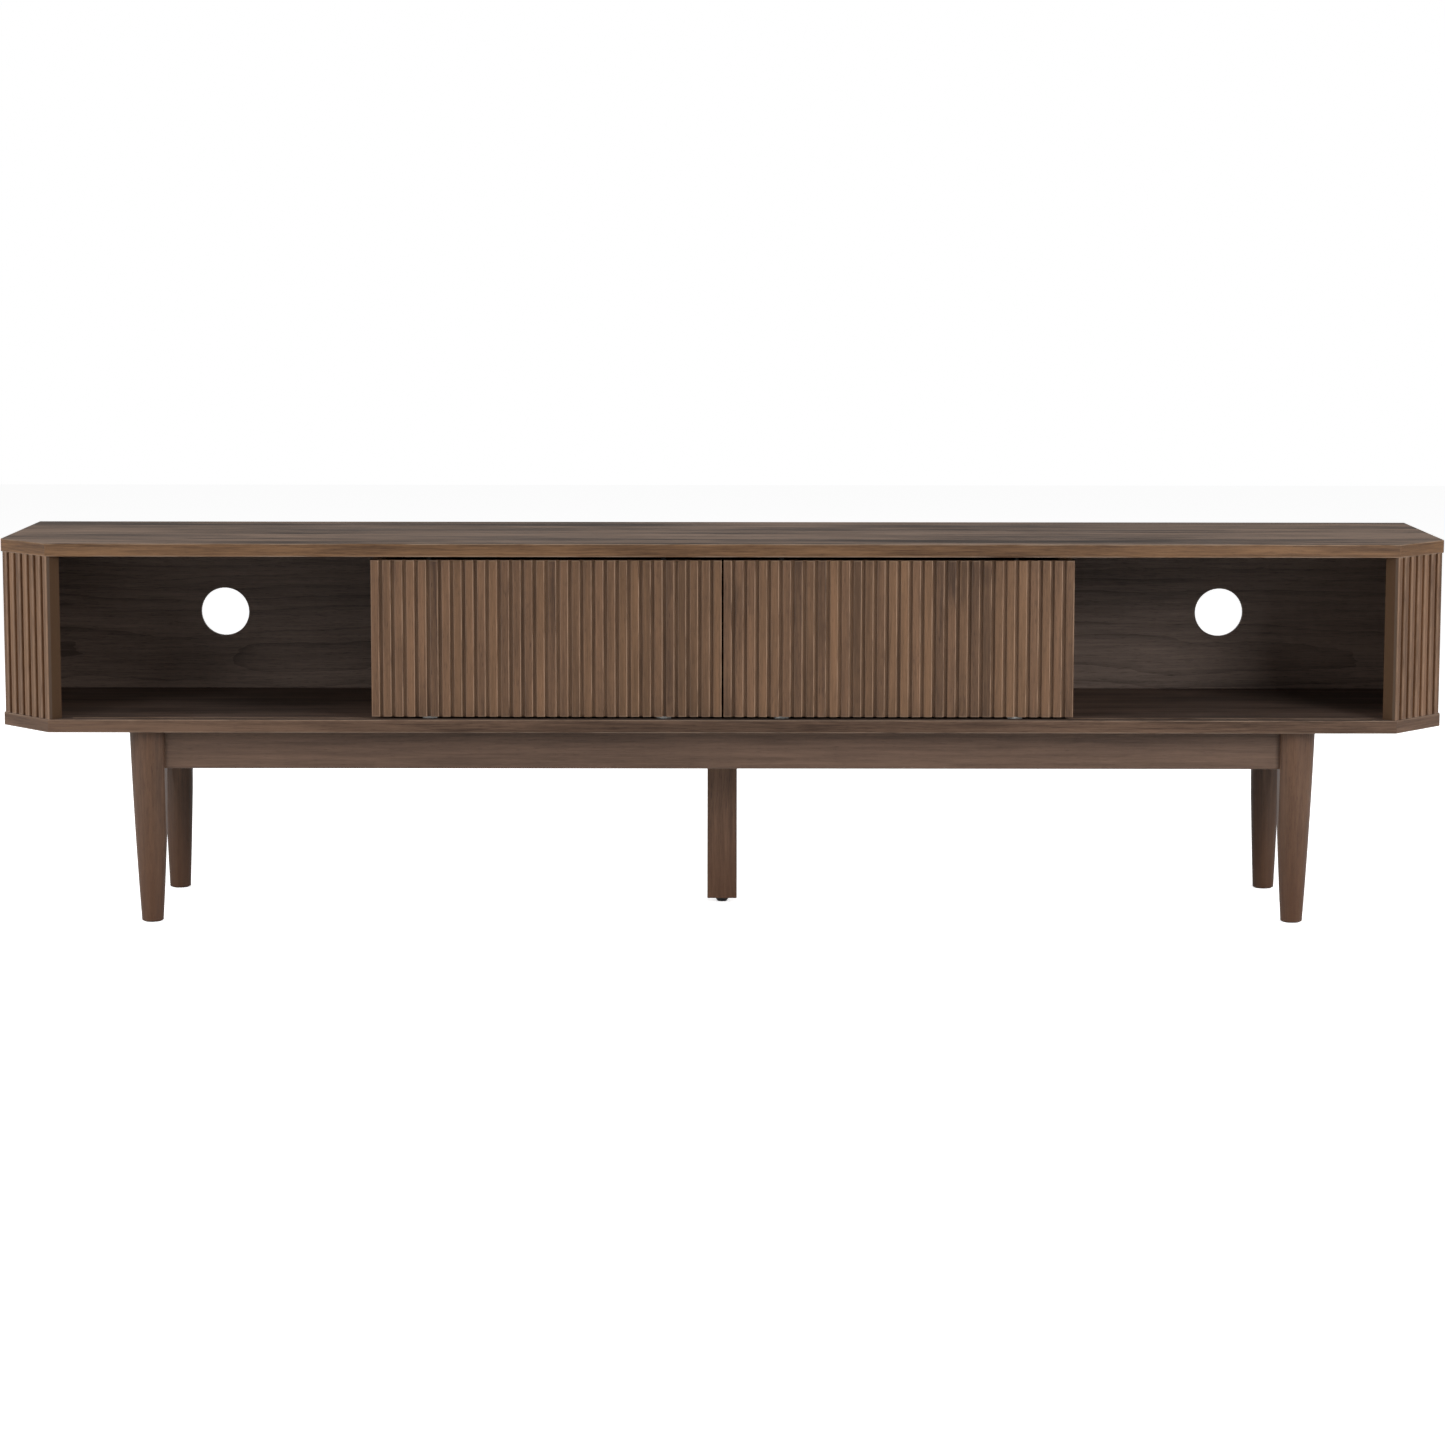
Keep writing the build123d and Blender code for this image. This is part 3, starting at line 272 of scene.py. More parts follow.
def make_walnut_grain():
    """Growth rings round a heart, fibre streaks, pores and slow changes of tone."""
    group, w, entry, leave = new_group(
        "walnut_grain",
        [
            ("Place", VECTOR, None),
            ("Seed", FLOAT, 0.0),
            ("Heart", VECTOR, (0.0, 0.05, 0.09)),
            ("Ring Width", FLOAT, 0.011),
            ("Rings", FLOAT, 0.25),
            ("Streaks", FLOAT, 1.0),
            ("Pores", FLOAT, 0.35),
        ],
        [("Tone", FLOAT), ("Fibre", FLOAT), ("Pore", FLOAT)],
    )
    shift = w.vector("SCALE", (7.31, 3.17, 5.03))
    w.feed(shift.node.inputs["Scale"], entry["Seed"])
    place = w.vector("ADD", entry["Place"], shift)
    bend = w.pattern(place, BEND_STRETCH, 2.0)
    sway = w.swing(bend, 0.16)
    from_heart = w.split(w.vector("SUBTRACT", entry["Place"], entry["Heart"]))
    across = w.math("ADD", from_heart["Y"], sway)
    radius = w.vector("LENGTH", w.join(0.0, across, from_heart["Z"]))
    ripple = w.pattern(place, RIPPLE_STRETCH, 3.0)
    turns = w.math("DIVIDE", radius, entry["Ring Width"])
    turns = w.math("ADD", turns, w.math("MULTIPLY", ripple, 0.9))
    late = w.math("POWER", w.math("FRACT", turns), 4.0)
    ring_year = w.math("FLOOR", turns)
    lot = w.add("ShaderNodeTexWhiteNoise", {"W": ring_year}, noise_dimensions="1D").outputs
    year = lot["Value"]
    ring = w.math("MULTIPLY", late, w.math("MULTIPLY", year, entry["Rings"]))
    broad = w.pattern(place, BROAD_STRETCH, 3.0, 0.55)
    streak = w.pattern(place, STREAK_STRETCH, 4.0, 0.65)
    fibre = w.pattern(place, FIBRE_STRETCH, 2.0, 0.6)
    slow = w.pattern(place, SLOW_STRETCH, 2.0)
    dash = w.pattern(place, PORE_STRETCH, 1.0)
    pore = w.step(dash, 0.60, 0.70)
    tone = w.swing(broad, 2.4)
    tone = w.math("ADD", tone, w.swing(streak, 2.6))
    tone = w.math("ADD", tone, w.swing(fibre, 1.5))
    tone = w.math("MULTIPLY", tone, entry["Streaks"])
    tone = w.math("ADD", tone, w.swing(slow, 1.1))
    tone = w.math("SUBTRACT", w.math("ADD", tone, 0.55), ring)
    tone = w.math("SUBTRACT", tone, w.math("MULTIPLY", pore, entry["Pores"]), clamp=True)
    w.feed(leave["Tone"], tone)
    w.feed(leave["Fibre"], w.math("SUBTRACT", fibre, w.math("MULTIPLY", pore, 0.8)))
    w.feed(leave["Pore"], pore)
    return group


def make_slat_lot():
    """Each slat is cut from its own stick: a random tone and hue, and its own stretch of grain. It
    also gives a painted highlight along each slat's rounded edges, full on the right and weaker on
    the left.
    """
    group, w, entry, leave = new_group(
        "slat_lot",
        [
            ("Across", FLOAT, 0.0),
            ("Start", FLOAT, 0.0),
            ("Pitch", FLOAT, 0.016),
            ("Seed", FLOAT, 0.0),
        ],
        [("Tone", FLOAT), ("Hue", FLOAT), ("Shift", FLOAT), ("Arris Highlight", FLOAT)],
    )
    count = w.math("DIVIDE", w.math("SUBTRACT", entry["Across"], entry["Start"]), entry["Pitch"])
    index = w.math("ADD", w.math("FLOOR", count), w.math("MULTIPLY", entry["Seed"], 37.0))
    lot = w.add("ShaderNodeTexWhiteNoise", {"W": index}, noise_dimensions="1D").outputs
    parts = w.split(lot["Color"])
    w.feed(leave["Tone"], w.math("SUBTRACT", parts["X"], 0.5))
    w.feed(leave["Hue"], parts["Y"])
    w.feed(leave["Shift"], w.math("MULTIPLY", parts["Z"], 3.0))
    # painted highlight: full at each slat's right rounded edge and a third of that at its left, as
    # the light falls from the right
    from_middle = w.swing(w.math("FRACT", count), entry["Pitch"])
    right = w.step(from_middle, SLAT_WIDTH / 2 - 1.6 * MM, SLAT_WIDTH / 2 - 0.8 * MM)
    left = w.step(from_middle, 1.2 * MM - SLAT_WIDTH / 2, 0.6 * MM - SLAT_WIDTH / 2)
    w.feed(leave["Arris Highlight"], w.math("ADD", right, w.math("MULTIPLY", left, 0.35)))
    return group


def make_edge_highlight():
    """Painted highlight: a lighter line along the edges at two heights of a piece, where their
    rounded arrises catch the light.
    """
    group, w, entry, leave = new_group(
        "painted_edge_highlight",
        [
            ("Height", FLOAT, 0.0),
            ("Low", FLOAT, 0.0),
            ("High", FLOAT, 1.0),
            ("Reach", FLOAT, 0.0015),
            ("Place", VECTOR, None),
        ],
        [("Edge Highlight", FLOAT)],
    )
    below = w.math("ABSOLUTE", w.math("SUBTRACT", entry["Height"], entry["Low"]))
    above = w.math("ABSOLUTE", w.math("SUBTRACT", entry["High"], entry["Height"]))
    near = w.math("DIVIDE", w.math("MINIMUM", below, above), entry["Reach"])
    patchy = w.pattern(entry["Place"], (18.0, 18.0, 18.0), 3.0)
    edge_highlight = w.math("MULTIPLY", w.step(near, 1.0, 0.35), w.step(patchy, 0.25, 0.65))
    w.feed(leave["Edge Highlight"], edge_highlight)
    return group


def make_dust():
    """A thin uneven film of dust on the faces that look up."""
    group, w, entry, leave = new_group(
        "dust",
        [("Place", VECTOR, None), ("Normal", VECTOR, None), ("Amount", FLOAT, 0.1)],
        [("Dust", FLOAT)],
    )
    up = w.step(w.split(entry["Normal"])["Z"], 0.6, 0.98)
    cloud = w.pattern(entry["Place"], (5.0, 7.0, 7.0), 4.0, 0.6)
    speck = w.pattern(entry["Place"], (900.0, 900.0, 900.0), 1.0)
    film = w.math("ADD", w.step(cloud, 0.35, 0.75), w.step(speck, 0.66, 0.74))
    film = w.math("MULTIPLY", film, entry["Amount"])
    w.feed(leave["Dust"], w.math("MULTIPLY", film, up, clamp=True))
    return group


def make_smudge():
    """A dark patch of stain in the grain, soft at its ends, round a centre."""
    group, w, entry, leave = new_group(
        "smudge",
        [
            ("Place", VECTOR, None),
            ("Centre", VECTOR, (0.0, 0.0, 0.0)),
            ("Reach", VECTOR, (0.02, 1.0, 0.05)),
            ("Strength", FLOAT, 0.5),
        ],
        [("Smudge", FLOAT)],
    )
    offset = w.vector("SUBTRACT", entry["Place"], entry["Centre"])
    offset = w.vector("DIVIDE", offset, entry["Reach"])
    near = w.step(w.vector("LENGTH", offset), 1.15, 0.45)
    patchy = w.pattern(entry["Place"], (160.0, 160.0, 11.0), 3.0)
    patch = w.math("MULTIPLY", near, w.step(patchy, 0.36, 0.60))
    w.feed(leave["Smudge"], w.math("MULTIPLY", patch, entry["Strength"]))
    return group


GRAIN = make_walnut_grain()
SLAT_LOT = make_slat_lot()
EDGE_HIGHLIGHT = make_edge_highlight()
DUST = make_dust()
SMUDGE = make_smudge()


# =================================================================== materials
def new_material(name):
    """A material with its Principled shader, and the wiring and object place to feed it."""
    material = bpy.data.materials.new(name)
    material.use_nodes = True
    wiring = Wiring(material.node_tree)
    shader = material.node_tree.nodes["Principled BSDF"]
    coordinates = wiring.add("ShaderNodeTexCoord").outputs
    return material, wiring, shader, coordinates


def use_group(wiring, group, inputs):
    """Places a shared group in a material with its own values."""
    node = wiring.add("ShaderNodeGroup", node_tree=group)
    for name, value in inputs.items():
        wiring.feed(node.inputs[name], value)
    return node.outputs


def along_grain(wiring, place, turn):
    """The place in the piece, turned so that the grain runs along X."""
    return wiring.add("ShaderNodeMapping", {"Vector": place, "Rotation": turn}).outputs["Vector"]


def finish_wood(wiring, shader, colour, fibre, rough, relief, sheen):
    """Semi-matte lacquer over stained wood: the fibres show in gloss and relief."""
    w = wiring
    shader.inputs["Specular IOR Level"].default_value = sheen
    w.feed(shader.inputs["Base Color"], colour)
    w.feed(shader.inputs["Roughness"], w.math("ADD", rough, w.math("MULTIPLY", fibre, 0.10)))
    bump = w.add("ShaderNodeBump", {"Strength": relief, "Distance": 0.12 * MM, "Height": fibre})
    w.feed(shader.inputs["Normal"], bump.outputs["Normal"])


def paint_end_shade(wiring, colour, place, end):
    """Paints shade on the cut end of a corner panel; end is its run and the place of its end."""
    run, edge = end
    along = wiring.vector("DOT_PRODUCT", place, run)
    return wiring.mix(wiring.step(along, edge + 0.9 * MM, edge + 0.3 * MM), colour, END_SHADE_TONE)


def solid_wood(name, tones, turn, seed, heart=(0.0, 0.05, 0.09), rings=0.25, streaks=0.8,
               ring_width=0.011, rough=0.44, sheen=0.28, dust=0.05, end=None, toe=0.0):
    """Stained solid wood or veneer with the grain one way through the whole piece."""
    material, w, shader, coordinates = new_material(name)
    place = along_grain(w, coordinates["Object"], turn)
    grain = use_group(w, GRAIN, {
        "Place": place, "Seed": seed, "Heart": heart, "Ring Width": ring_width,
        "Rings": rings, "Streaks": streaks,
    })
    colour = w.mix(grain["Tone"], tones["dark"], tones["light"])
    if toe:
        low = w.step(w.split(coordinates["Object"])["Z"], 0.200, 0.010)
        colour = w.mix(w.math("MULTIPLY", low, toe), colour, TOE_TONE)
    film = use_group(w, DUST, {
        "Place": coordinates["Object"], "Normal": coordinates["Normal"], "Amount": dust,
    })
    colour = w.mix(film["Dust"], colour, DUST_TONE)
    # painted shade on the corner piece's cut end
    if end:
        colour = paint_end_shade(w, colour, coordinates["Object"], end)
    finish_wood(w, shader, colour, grain["Fibre"], rough, 0.35, sheen)
    return material


def board_wood(name, face, edge, low, high, seed, face_rough, edge_rough, sheen, edge_highlight):
    """A veneered board: long grain on its faces, and veneer bands that run along its edges."""
    material, w, shader, coordinates = new_material(name)
    place, normal = coordinates["Object"], coordinates["Normal"]
    height = w.split(place)["Z"]
    flatness = w.step(w.math("ABSOLUTE", w.split(normal)["Z"]), 0.80, 0.95)
    tangent = w.vector("NORMALIZE", w.vector("CROSS_PRODUCT", (0.0, 0.0, 1.0), normal))
    band_place = w.join(w.vector("DOT_PRODUCT", place, tangent), height, 0.0)
    face_grain = use_group(w, GRAIN, {
        "Place": place, "Seed": seed, "Heart": (0.0, -0.04, 0.42), "Ring Width": 0.006,
        "Rings": 0.26, "Streaks": 1.05,
    })
    band_grain = use_group(w, GRAIN, {
        "Place": band_place, "Seed": seed + 4.0, "Heart": (0.0, 0.2, 0.02), "Ring Width": 0.005,
        "Rings": 0.25, "Streaks": 0.75,
    })
    face_colour = w.mix(face_grain["Tone"], face["dark"], face["light"])
    band_colour = w.mix(band_grain["Tone"], edge["dark"], edge["light"])
    # painted highlight along the top and bottom edges of the veneer bands
    highlit_edge = use_group(w, EDGE_HIGHLIGHT, {
        "Height": height, "Low": low, "High": high, "Reach": 2.0 * MM, "Place": place,
    })
    band_colour = w.mix(w.math("MULTIPLY", highlit_edge["Edge Highlight"], edge_highlight), band_colour, BAND_HIGHLIGHT_TONE)
    colour = w.mix(flatness, band_colour, face_colour)
    film = use_group(w, DUST, {"Place": place, "Normal": normal, "Amount": 0.04})
    colour = w.mix(film["Dust"], colour, DUST_TONE)
    fibre = w.math("ADD", w.math("MULTIPLY", face_grain["Fibre"], flatness),
                   w.math("MULTIPLY", band_grain["Fibre"], w.math("SUBTRACT", 1.0, flatness)))
    rough = w.add("ShaderNodeMix", {"Factor": flatness, "A": edge_rough, "B": face_rough})
    finish_wood(w, shader, colour, fibre, rough.outputs["Result"], 0.3, sheen)
    return material


def slat_wood(name, tones, across, start, pitch, seed, low, high, smudges=(), end=None):
    """Glued slats: upright grain, a tone for each, and stain gathered near the ends; a painted
    highlight runs along their top and bottom ends and their rounded edges.
    """
    material, w, shader, coordinates = new_material(name)
    place = coordinates["Object"]
    along = w.vector("DOT_PRODUCT", place, across)
    lot = use_group(w, SLAT_LOT, {"Across": along, "Start": start, "Pitch": pitch, "Seed": seed})
    turned = along_grain(w, place, GRAIN_Z)
    stick = w.vector("ADD", turned, w.join(lot["Shift"], 0.0, 0.0))
    grain = use_group(w, GRAIN, {
        "Place": stick, "Seed": seed, "Heart": (0.0, 0.03, 0.06), "Ring Width": 0.007,
        "Rings": 0.16, "Streaks": 0.46, "Pores": 0.40,
    })
    tone = w.math("ADD", grain["Tone"], w.math("MULTIPLY", lot["Tone"], 0.26))
    for centre, reach, strength in smudges:
        mark = use_group(w, SMUDGE, {
            "Place": place, "Centre": centre, "Reach": reach, "Strength": strength,
        })
        tone = w.math("SUBTRACT", tone, mark["Smudge"])
    tone = w.math("MAXIMUM", w.math("MINIMUM", tone, 1.0), 0.0)
    colour = w.mix(tone, tones["dark"], tones["light"])
    warm = w.mix(0.16, colour, WARM_TONE)
    colour = w.mix(w.step(lot["Hue"], 0.35, 1.0), colour, warm)
    # painted highlight along the slats' top and bottom ends
    highlit_edge = use_group(w, EDGE_HIGHLIGHT, {
        "Height": w.split(place)["Z"], "Low": low, "High": high, "Reach": 2.5 * MM, "Place": place,
    })
    colour = w.mix(w.math("MULTIPLY", highlit_edge["Edge Highlight"], 0.25), colour, SLAT_END_HIGHLIGHT_TONE)
    # painted highlight on the slats' outward rounded edges, broken up by noise
    facing = w.vector("CROSS_PRODUCT", across, (0.0, 0.0, 1.0))
    outward = w.math("ABSOLUTE", w.vector("DOT_PRODUCT", coordinates["Normal"], facing))
    arris_highlight = w.math("MULTIPLY", lot["Arris Highlight"], w.step(outward, 0.15, 0.45))
    thin = w.pattern(place, (60.0, 60.0, 26.0), 3.0)
    arris_highlight = w.math("MULTIPLY", arris_highlight, w.step(thin, 0.25, 0.62))
    colour = w.mix(w.math("MULTIPLY", arris_highlight, ARRIS_HIGHLIGHT_STRENGTH), colour, ARRIS_HIGHLIGHT_TONE)
    # painted shade on the corner piece's cut end
    if end:
        colour = paint_end_shade(w, colour, place, end)
    finish_wood(w, shader, colour, grain["Fibre"], 0.44, 0.3, 0.30)
    return material


def steel(name, pitch=None):
    """Zinc-plated steel, cloudy and slightly yellowed; pitch gives it thread rings up the piece."""
    material, w, shader, coordinates = new_material(name)
    place = coordinates["Object"]
    cloud = w.pattern(place, (140.0, 140.0, 140.0), 4.0, 0.6)
    scratch = w.pattern(place, (900.0, 120.0, 900.0), 2.0)
    w.feed(shader.inputs["Base Color"], w.mix(cloud, (0.40, 0.39, 0.35), (0.66, 0.66, 0.64)))
    shader.inputs["Metallic"].default_value = 1.0
    w.feed(shader.inputs["Roughness"], w.math("ADD", 0.24, w.math("MULTIPLY", cloud, 0.22)))
    height = scratch
    if pitch:
        turns = w.math("DIVIDE", w.split(place)["Z"], pitch)
        height = w.math("PINGPONG", turns, 0.5)
    bump = w.add("ShaderNodeBump", {"Strength": 0.5, "Distance": 0.25 * MM, "Height": height})
    w.feed(shader.inputs["Normal"], bump.outputs["Normal"])
    return material


def plastic(name, dark, light, rough):
    """Moulded plastic with a fine spark-eroded grain and scuffs."""
    material, w, shader, coordinates = new_material(name)
    place = coordinates["Object"]
    texture = w.pattern(place, (2600.0, 2600.0, 2600.0), 2.0)
    scuff = w.step(w.pattern(place, (90.0, 400.0, 400.0), 3.0), 0.52, 0.7)
    w.feed(shader.inputs["Base Color"], w.mix(scuff, dark, light))
    w.feed(shader.inputs["Roughness"], w.math("ADD", rough, w.math("MULTIPLY", scuff, 0.15)))
    bump = w.add("ShaderNodeBump", {"Strength": 0.25, "Distance": 0.05 * MM, "Height": texture})
    w.feed(shader.inputs["Normal"], bump.outputs["Normal"])
    return material


def felt(name):
    """Pressed dark felt: matted fibres and pale specks of lint."""
    material, w, shader, coordinates = new_material(name)
    place = coordinates["Object"]
    mat = w.pattern(place, (1400.0, 1400.0, 700.0), 5.0, 0.7)
    lint = w.step(w.pattern(place, (2300.0, 2300.0, 2300.0), 2.0), 0.66, 0.72)
    colour = w.mix(mat, (0.012, 0.009, 0.007), (0.060, 0.045, 0.036))
    w.feed(shader.inputs["Base Color"], w.mix(lint, colour, (0.16, 0.14, 0.12)))
    shader.inputs["Roughness"].default_value = 0.95
    shader.inputs["Sheen Weight"].default_value = 0.4
    bump = w.add("ShaderNodeBump", {"Strength": 0.8, "Distance": 0.3 * MM, "Height": mat})
    w.feed(shader.inputs["Normal"], bump.outputs["Normal"])
    return material


def dress(material, *names):
    """Gives CAD nodes their finish through their material slots."""
    for name in names:
        slots = NODES[name].material_slots
        if not slots:
            NODES[name].data.materials.append(material)
        for slot in slots:
            slot.material = material


# =================================================================== dressing the frame
def dress_boards():
    for name, face, edge, seed, face_rough, edge_rough, sheen, edge_highlight in (
        ("top_board", TOP_FACE, TOP_EDGE, 1.0, 0.50, 0.42, 0.24, 0.45),
        ("bottom_board", BOTTOM_FACE, BOTTOM_EDGE, 2.0, 0.74, 0.44, 0.15, 0.35),
    ):
        low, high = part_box(name)
        material = board_wood(f"walnut_{name}", face, edge, low.z, high.z, seed,
                              face_rough, edge_rough, sheen, edge_highlight)
        dress(material, name)


def corner_end(name, across):
    """How far along the cut corner a corner piece begins."""
    return min(vertex.co.dot(Vector(across)) for vertex in NODES[name].data.vertices)


def dress_slats():
    for name, side in SIDES.items():
        low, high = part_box(f"{name}_door_slats")
        pitch = (high.x - low.x - SLAT_WIDTH) / (DOOR_SLATS - 1)
        start = low.x + SLAT_WIDTH / 2 - pitch / 2
        marks = DOOR_SMUDGES if side > 0 else ()
        dress(slat_wood(f"walnut_{name}_door_slats", SLAT_TONES, (1.0, 0.0, 0.0), start, pitch,
                        3.0 + side, low.z, high.z, marks), f"{name}_door_slats")
        low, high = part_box(f"{name}_side_slats")
        pitch = (high.y - low.y - SLAT_WIDTH) / (SIDE_SLATS - 1)
        start = low.y + SLAT_WIDTH / 2 - pitch / 2
        dress(slat_wood(f"walnut_{name}_side_slats", SLAT_TONES, (0.0, 1.0, 0.0), start, pitch,
                        6.0 + side, low.z, high.z), f"{name}_side_slats")
        across = (side * CORNER_CUT[0] / CUT_LENGTH, CORNER_CUT[1] / CUT_LENGTH, 0.0)
        front = Vector((side * (HALF_WIDTH - CORNER_CUT[0]), -HALF_DEPTH, 0.0))
        start = front.dot(Vector(across)) + CORNER_START
        end = (across, corner_end(f"{name}_corner_slats", across))
        dress(slat_wood(f"walnut_{name}_corner_slats", SLAT_TONES, across, start, CORNER_PITCH,
                        9.0 + side, low.z, high.z, end=end), f"{name}_corner_slats")
        end = (across, corner_end(f"{name}_corner_board", across))
        # the corner board's colour carries painted light for the groove bottoms
        dress(solid_wood(f"walnut_{name}_corner_board", CORNER_GROUND_LIT_TONES, GRAIN_Z, 14.0 + side,
                         heart=(0.0, 0.1, 0.05), rough=0.6, sheen=0.12, dust=0.0, end=end),
              f"{name}_corner_board")


def dress_panels():
    dress(solid_wood("walnut_back_panel", PANEL_TONES, GRAIN_X, 11.0, heart=(0.0, 0.21, 0.33),
                     rings=0.34, streaks=0.30, ring_width=0.016, rough=0.50, sheen=0.22, dust=0.0),
          "back_panel")
    for seed, name in enumerate(SIDES, 12):
        dress(solid_wood(f"walnut_{name}_upright_panels", GROUND_LIT_TONES, GRAIN_Z, float(seed),
                         heart=(0.0, 0.1, 0.05), dust=0.0),
              f"{name}_side_board", f"{name}_partition", f"{name}_door_board")


def dress_leg_frame():
    dress(solid_wood("walnut_aprons", FRAME_TONES, GRAIN_X, 15.0, heart=(0.0, -0.1, 0.30),
                     rings=0.12, streaks=0.45), "front_apron", "rear_apron")
    dress(solid_wood("walnut_side_rails", FRAME_TONES, GRAIN_Y, 16.0),
          "left_side_rail", "right_side_rail", "centre_cross_rail")
    for seed, name in enumerate(("front_left_leg", "front_right_leg", "rear_left_leg",
                                 "rear_right_leg", "centre_leg"), 20):
        low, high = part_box(name)
        middle = (low + high) / 2
        heart = (0.0, middle.y + 0.012, middle.x + 0.03)
        place = name.split("_")[0]
        # the rear legs get painted shade and the centre leg painted light through their tones
        tones = {"rear": REAR_LEG_SHADED_TONES, "centre": CENTRE_LEG_LIT_TONES}.get(place, LEG_TONES)
        dress(solid_wood(f"walnut_{name}", tones, GRAIN_Z, float(seed), heart=heart, rings=0.22,
                         streaks=0.42, ring_width=0.006, sheen=0.28, dust=0.0, toe=0.5), name)
    dress(solid_wood("walnut_corner_blocks", BLOCK_TONES, GRAIN_Y, 26.0, rings=0.35, dust=0.0),
          "corner_blocks")
    dress(solid_wood("beech_dowel", BEECH_TONES, GRAIN_X, 27.0, rings=0.1, rough=0.6, dust=0.0),
          "carcass_dowels", "frame_dowels")


def dress_hardware():
    zinc = steel("zinc_steel")
    dress(zinc, "cam_locks", "cam_bolts", "leg_washers", "leg_nuts", "leveller_insert")
    make_screws(zinc)
    dress(steel("zinc_steel_thread", 1.25 * MM), "leg_bolts", "centre_leg_bolt")
    grey = plastic("grey_plastic", (0.30, 0.30, 0.29), (0.42, 0.42, 0.40), 0.42)
    for name in SIDES:
        dress(grey, f"{name}_door_bottom_guides")
    make_foot(plastic("black_plastic", (0.012, 0.012, 0.012), (0.030, 0.030, 0.030), 0.36))
    dress(plastic("shaded_black_plastic", (0.004, 0.004, 0.004), (0.010, 0.010, 0.010), 0.80),
          "left_door_top_guides", "right_door_top_guides")
    dress(felt("felt"), "leg_pads")


# =================================================================== detailed pieces
def turned(shape, sides, profile):
    """Spins a profile of (radius, height) about Z; it stays open at its first and last rings."""
    chain = [shape.verts.new((radius, 0.0, height)) for radius, height in profile]
    edges = [shape.edges.new(pair) for pair in zip(chain, chain[1:])]
    bmesh.ops.spin(shape, geom=chain + edges, axis=(0.0, 0.0, 1.0), cent=(0.0, 0.0, 0.0),
                   angle=2 * math.pi, steps=sides, use_merge=True, use_duplicate=False)


def open_ring(shape, height):
    """The open edges at that height."""
    return [e for e in shape.edges
            if e.is_boundary and all(abs(v.co.z - height) < SAME_PLACE for v in e.verts)]


def fill(shape, edges):
    bmesh.ops.triangle_fill(shape, use_beauty=True, edges=edges)


def recess_loop(shape, arm, half, height):
    """The outline of a cross recess: four arms of that length and half width."""
    corners = []
    for turn in range(4):
        quarter = Matrix.Rotation(turn * RIGHT_ANGLE, 4, "Z")
        for x, y in ((half, -half), (arm, -half), (arm, half)):
            corners.append(shape.verts.new(quarter @ Vector((x, y, height))))
    return [shape.edges.new(pair) for pair in zip(corners, corners[1:] + corners[:1])]


def add_screw(shape, place, sizes):
    """A screw with a domed cross-recess head; its head looks along +Z of place."""
    head, thick, shank, length = sizes
    piece = bmesh.new()
    dome = [(head * out, thick * height) for out, height in HEAD_DOME]
    turned(piece, SCREW_SIDES, dome + [
        (shank, -thick), (shank, shank * POINT_START - length), (shank * POINT_RADIUS, -length),
    ])
    rim, tip = open_ring(piece, 0.0), open_ring(piece, -length)
    mouth = recess_loop(piece, head * RECESS_ARM, head * RECESS_HALF, 0.0)
    fill(piece, rim + mouth)
    fill(piece, tip)
    made = bmesh.ops.extrude_edge_only(piece, edges=mouth)["geom"]
    floor = [e for e in made if isinstance(e, bmesh.types.BMEdge) and e.is_boundary]
    corners = list({v for e in floor for v in e.verts})
    bmesh.ops.scale(piece, verts=corners, vec=(RECESS_TAPER, RECESS_TAPER, 1.0))
    bmesh.ops.translate(piece, verts=corners, vec=(0.0, 0.0, -thick * RECESS_DEPTH))
    fill(piece, floor)
    bmesh.ops.recalc_face_normals(piece, faces=piece.faces)
    bmesh.ops.transform(piece, matrix=place, verts=piece.verts)
    mesh = bpy.data.meshes.new("screw")
    piece.to_mesh(mesh)
    piece.free()
    shape.from_mesh(mesh)
    bpy.data.meshes.remove(mesh)


def separate_solids(name):
    """The points of each separate solid of a CAD node."""
    shape = bmesh.new()
    shape.from_mesh(NODES[name].data)
    bmesh.ops.remove_doubles(shape, verts=shape.verts, dist=SAME_POINT)
    seen, solids = set(), []
    for first in shape.verts:
        if first in seen:
            continue
        seen.add(first)
        waiting, points = [first], []
        while waiting:
            vertex = waiting.pop()
            points.append(vertex.co.copy())
            for edge in vertex.link_edges:
                other = edge.other_vert(vertex)
                if other not in seen:
                    seen.add(other)
                    waiting.append(other)
        solids.append(points)
    shape.free()
    return solids


def measure_screw(points):
    """The place and (head radius, head thickness, shank radius, length) of one CAD screw."""
    low = Vector([min(p[i] for p in points) for i in range(3)])
    high = Vector([max(p[i] for p in points) for i in range(3)])
    size = high - low
    axis = max(range(3), key=lambda i: size[i])
    others = [i for i in range(3) if i != axis]
    middle = (low + high) / 2
    head = size[others[0]] / 2
    rim = [p[axis] for p in points if (p - middle)[others[0]] > head * 0.9]
    up = 1 if high[axis] - max(rim) < min(rim) - low[axis] else -1
    top = high[axis] if up > 0 else low[axis]
    thick = max(abs(top - height) for height in rim)
    tip = low[axis] if up > 0 else high[axis]
    tip_points = [p for p in points if abs(p[axis] - tip) < SCREW_TIP_REACH]
    shank = max(abs((p - middle)[others[0]]) for p in tip_points)
    way = Vector([up if i == axis else 0.0 for i in range(3)])
    origin = middle.copy()
    origin[axis] = top
    turn = way.to_track_quat("Z", "Y").to_matrix().to_4x4()
    return Matrix.Translation(origin) @ turn, (head, thick, shank, size[axis])


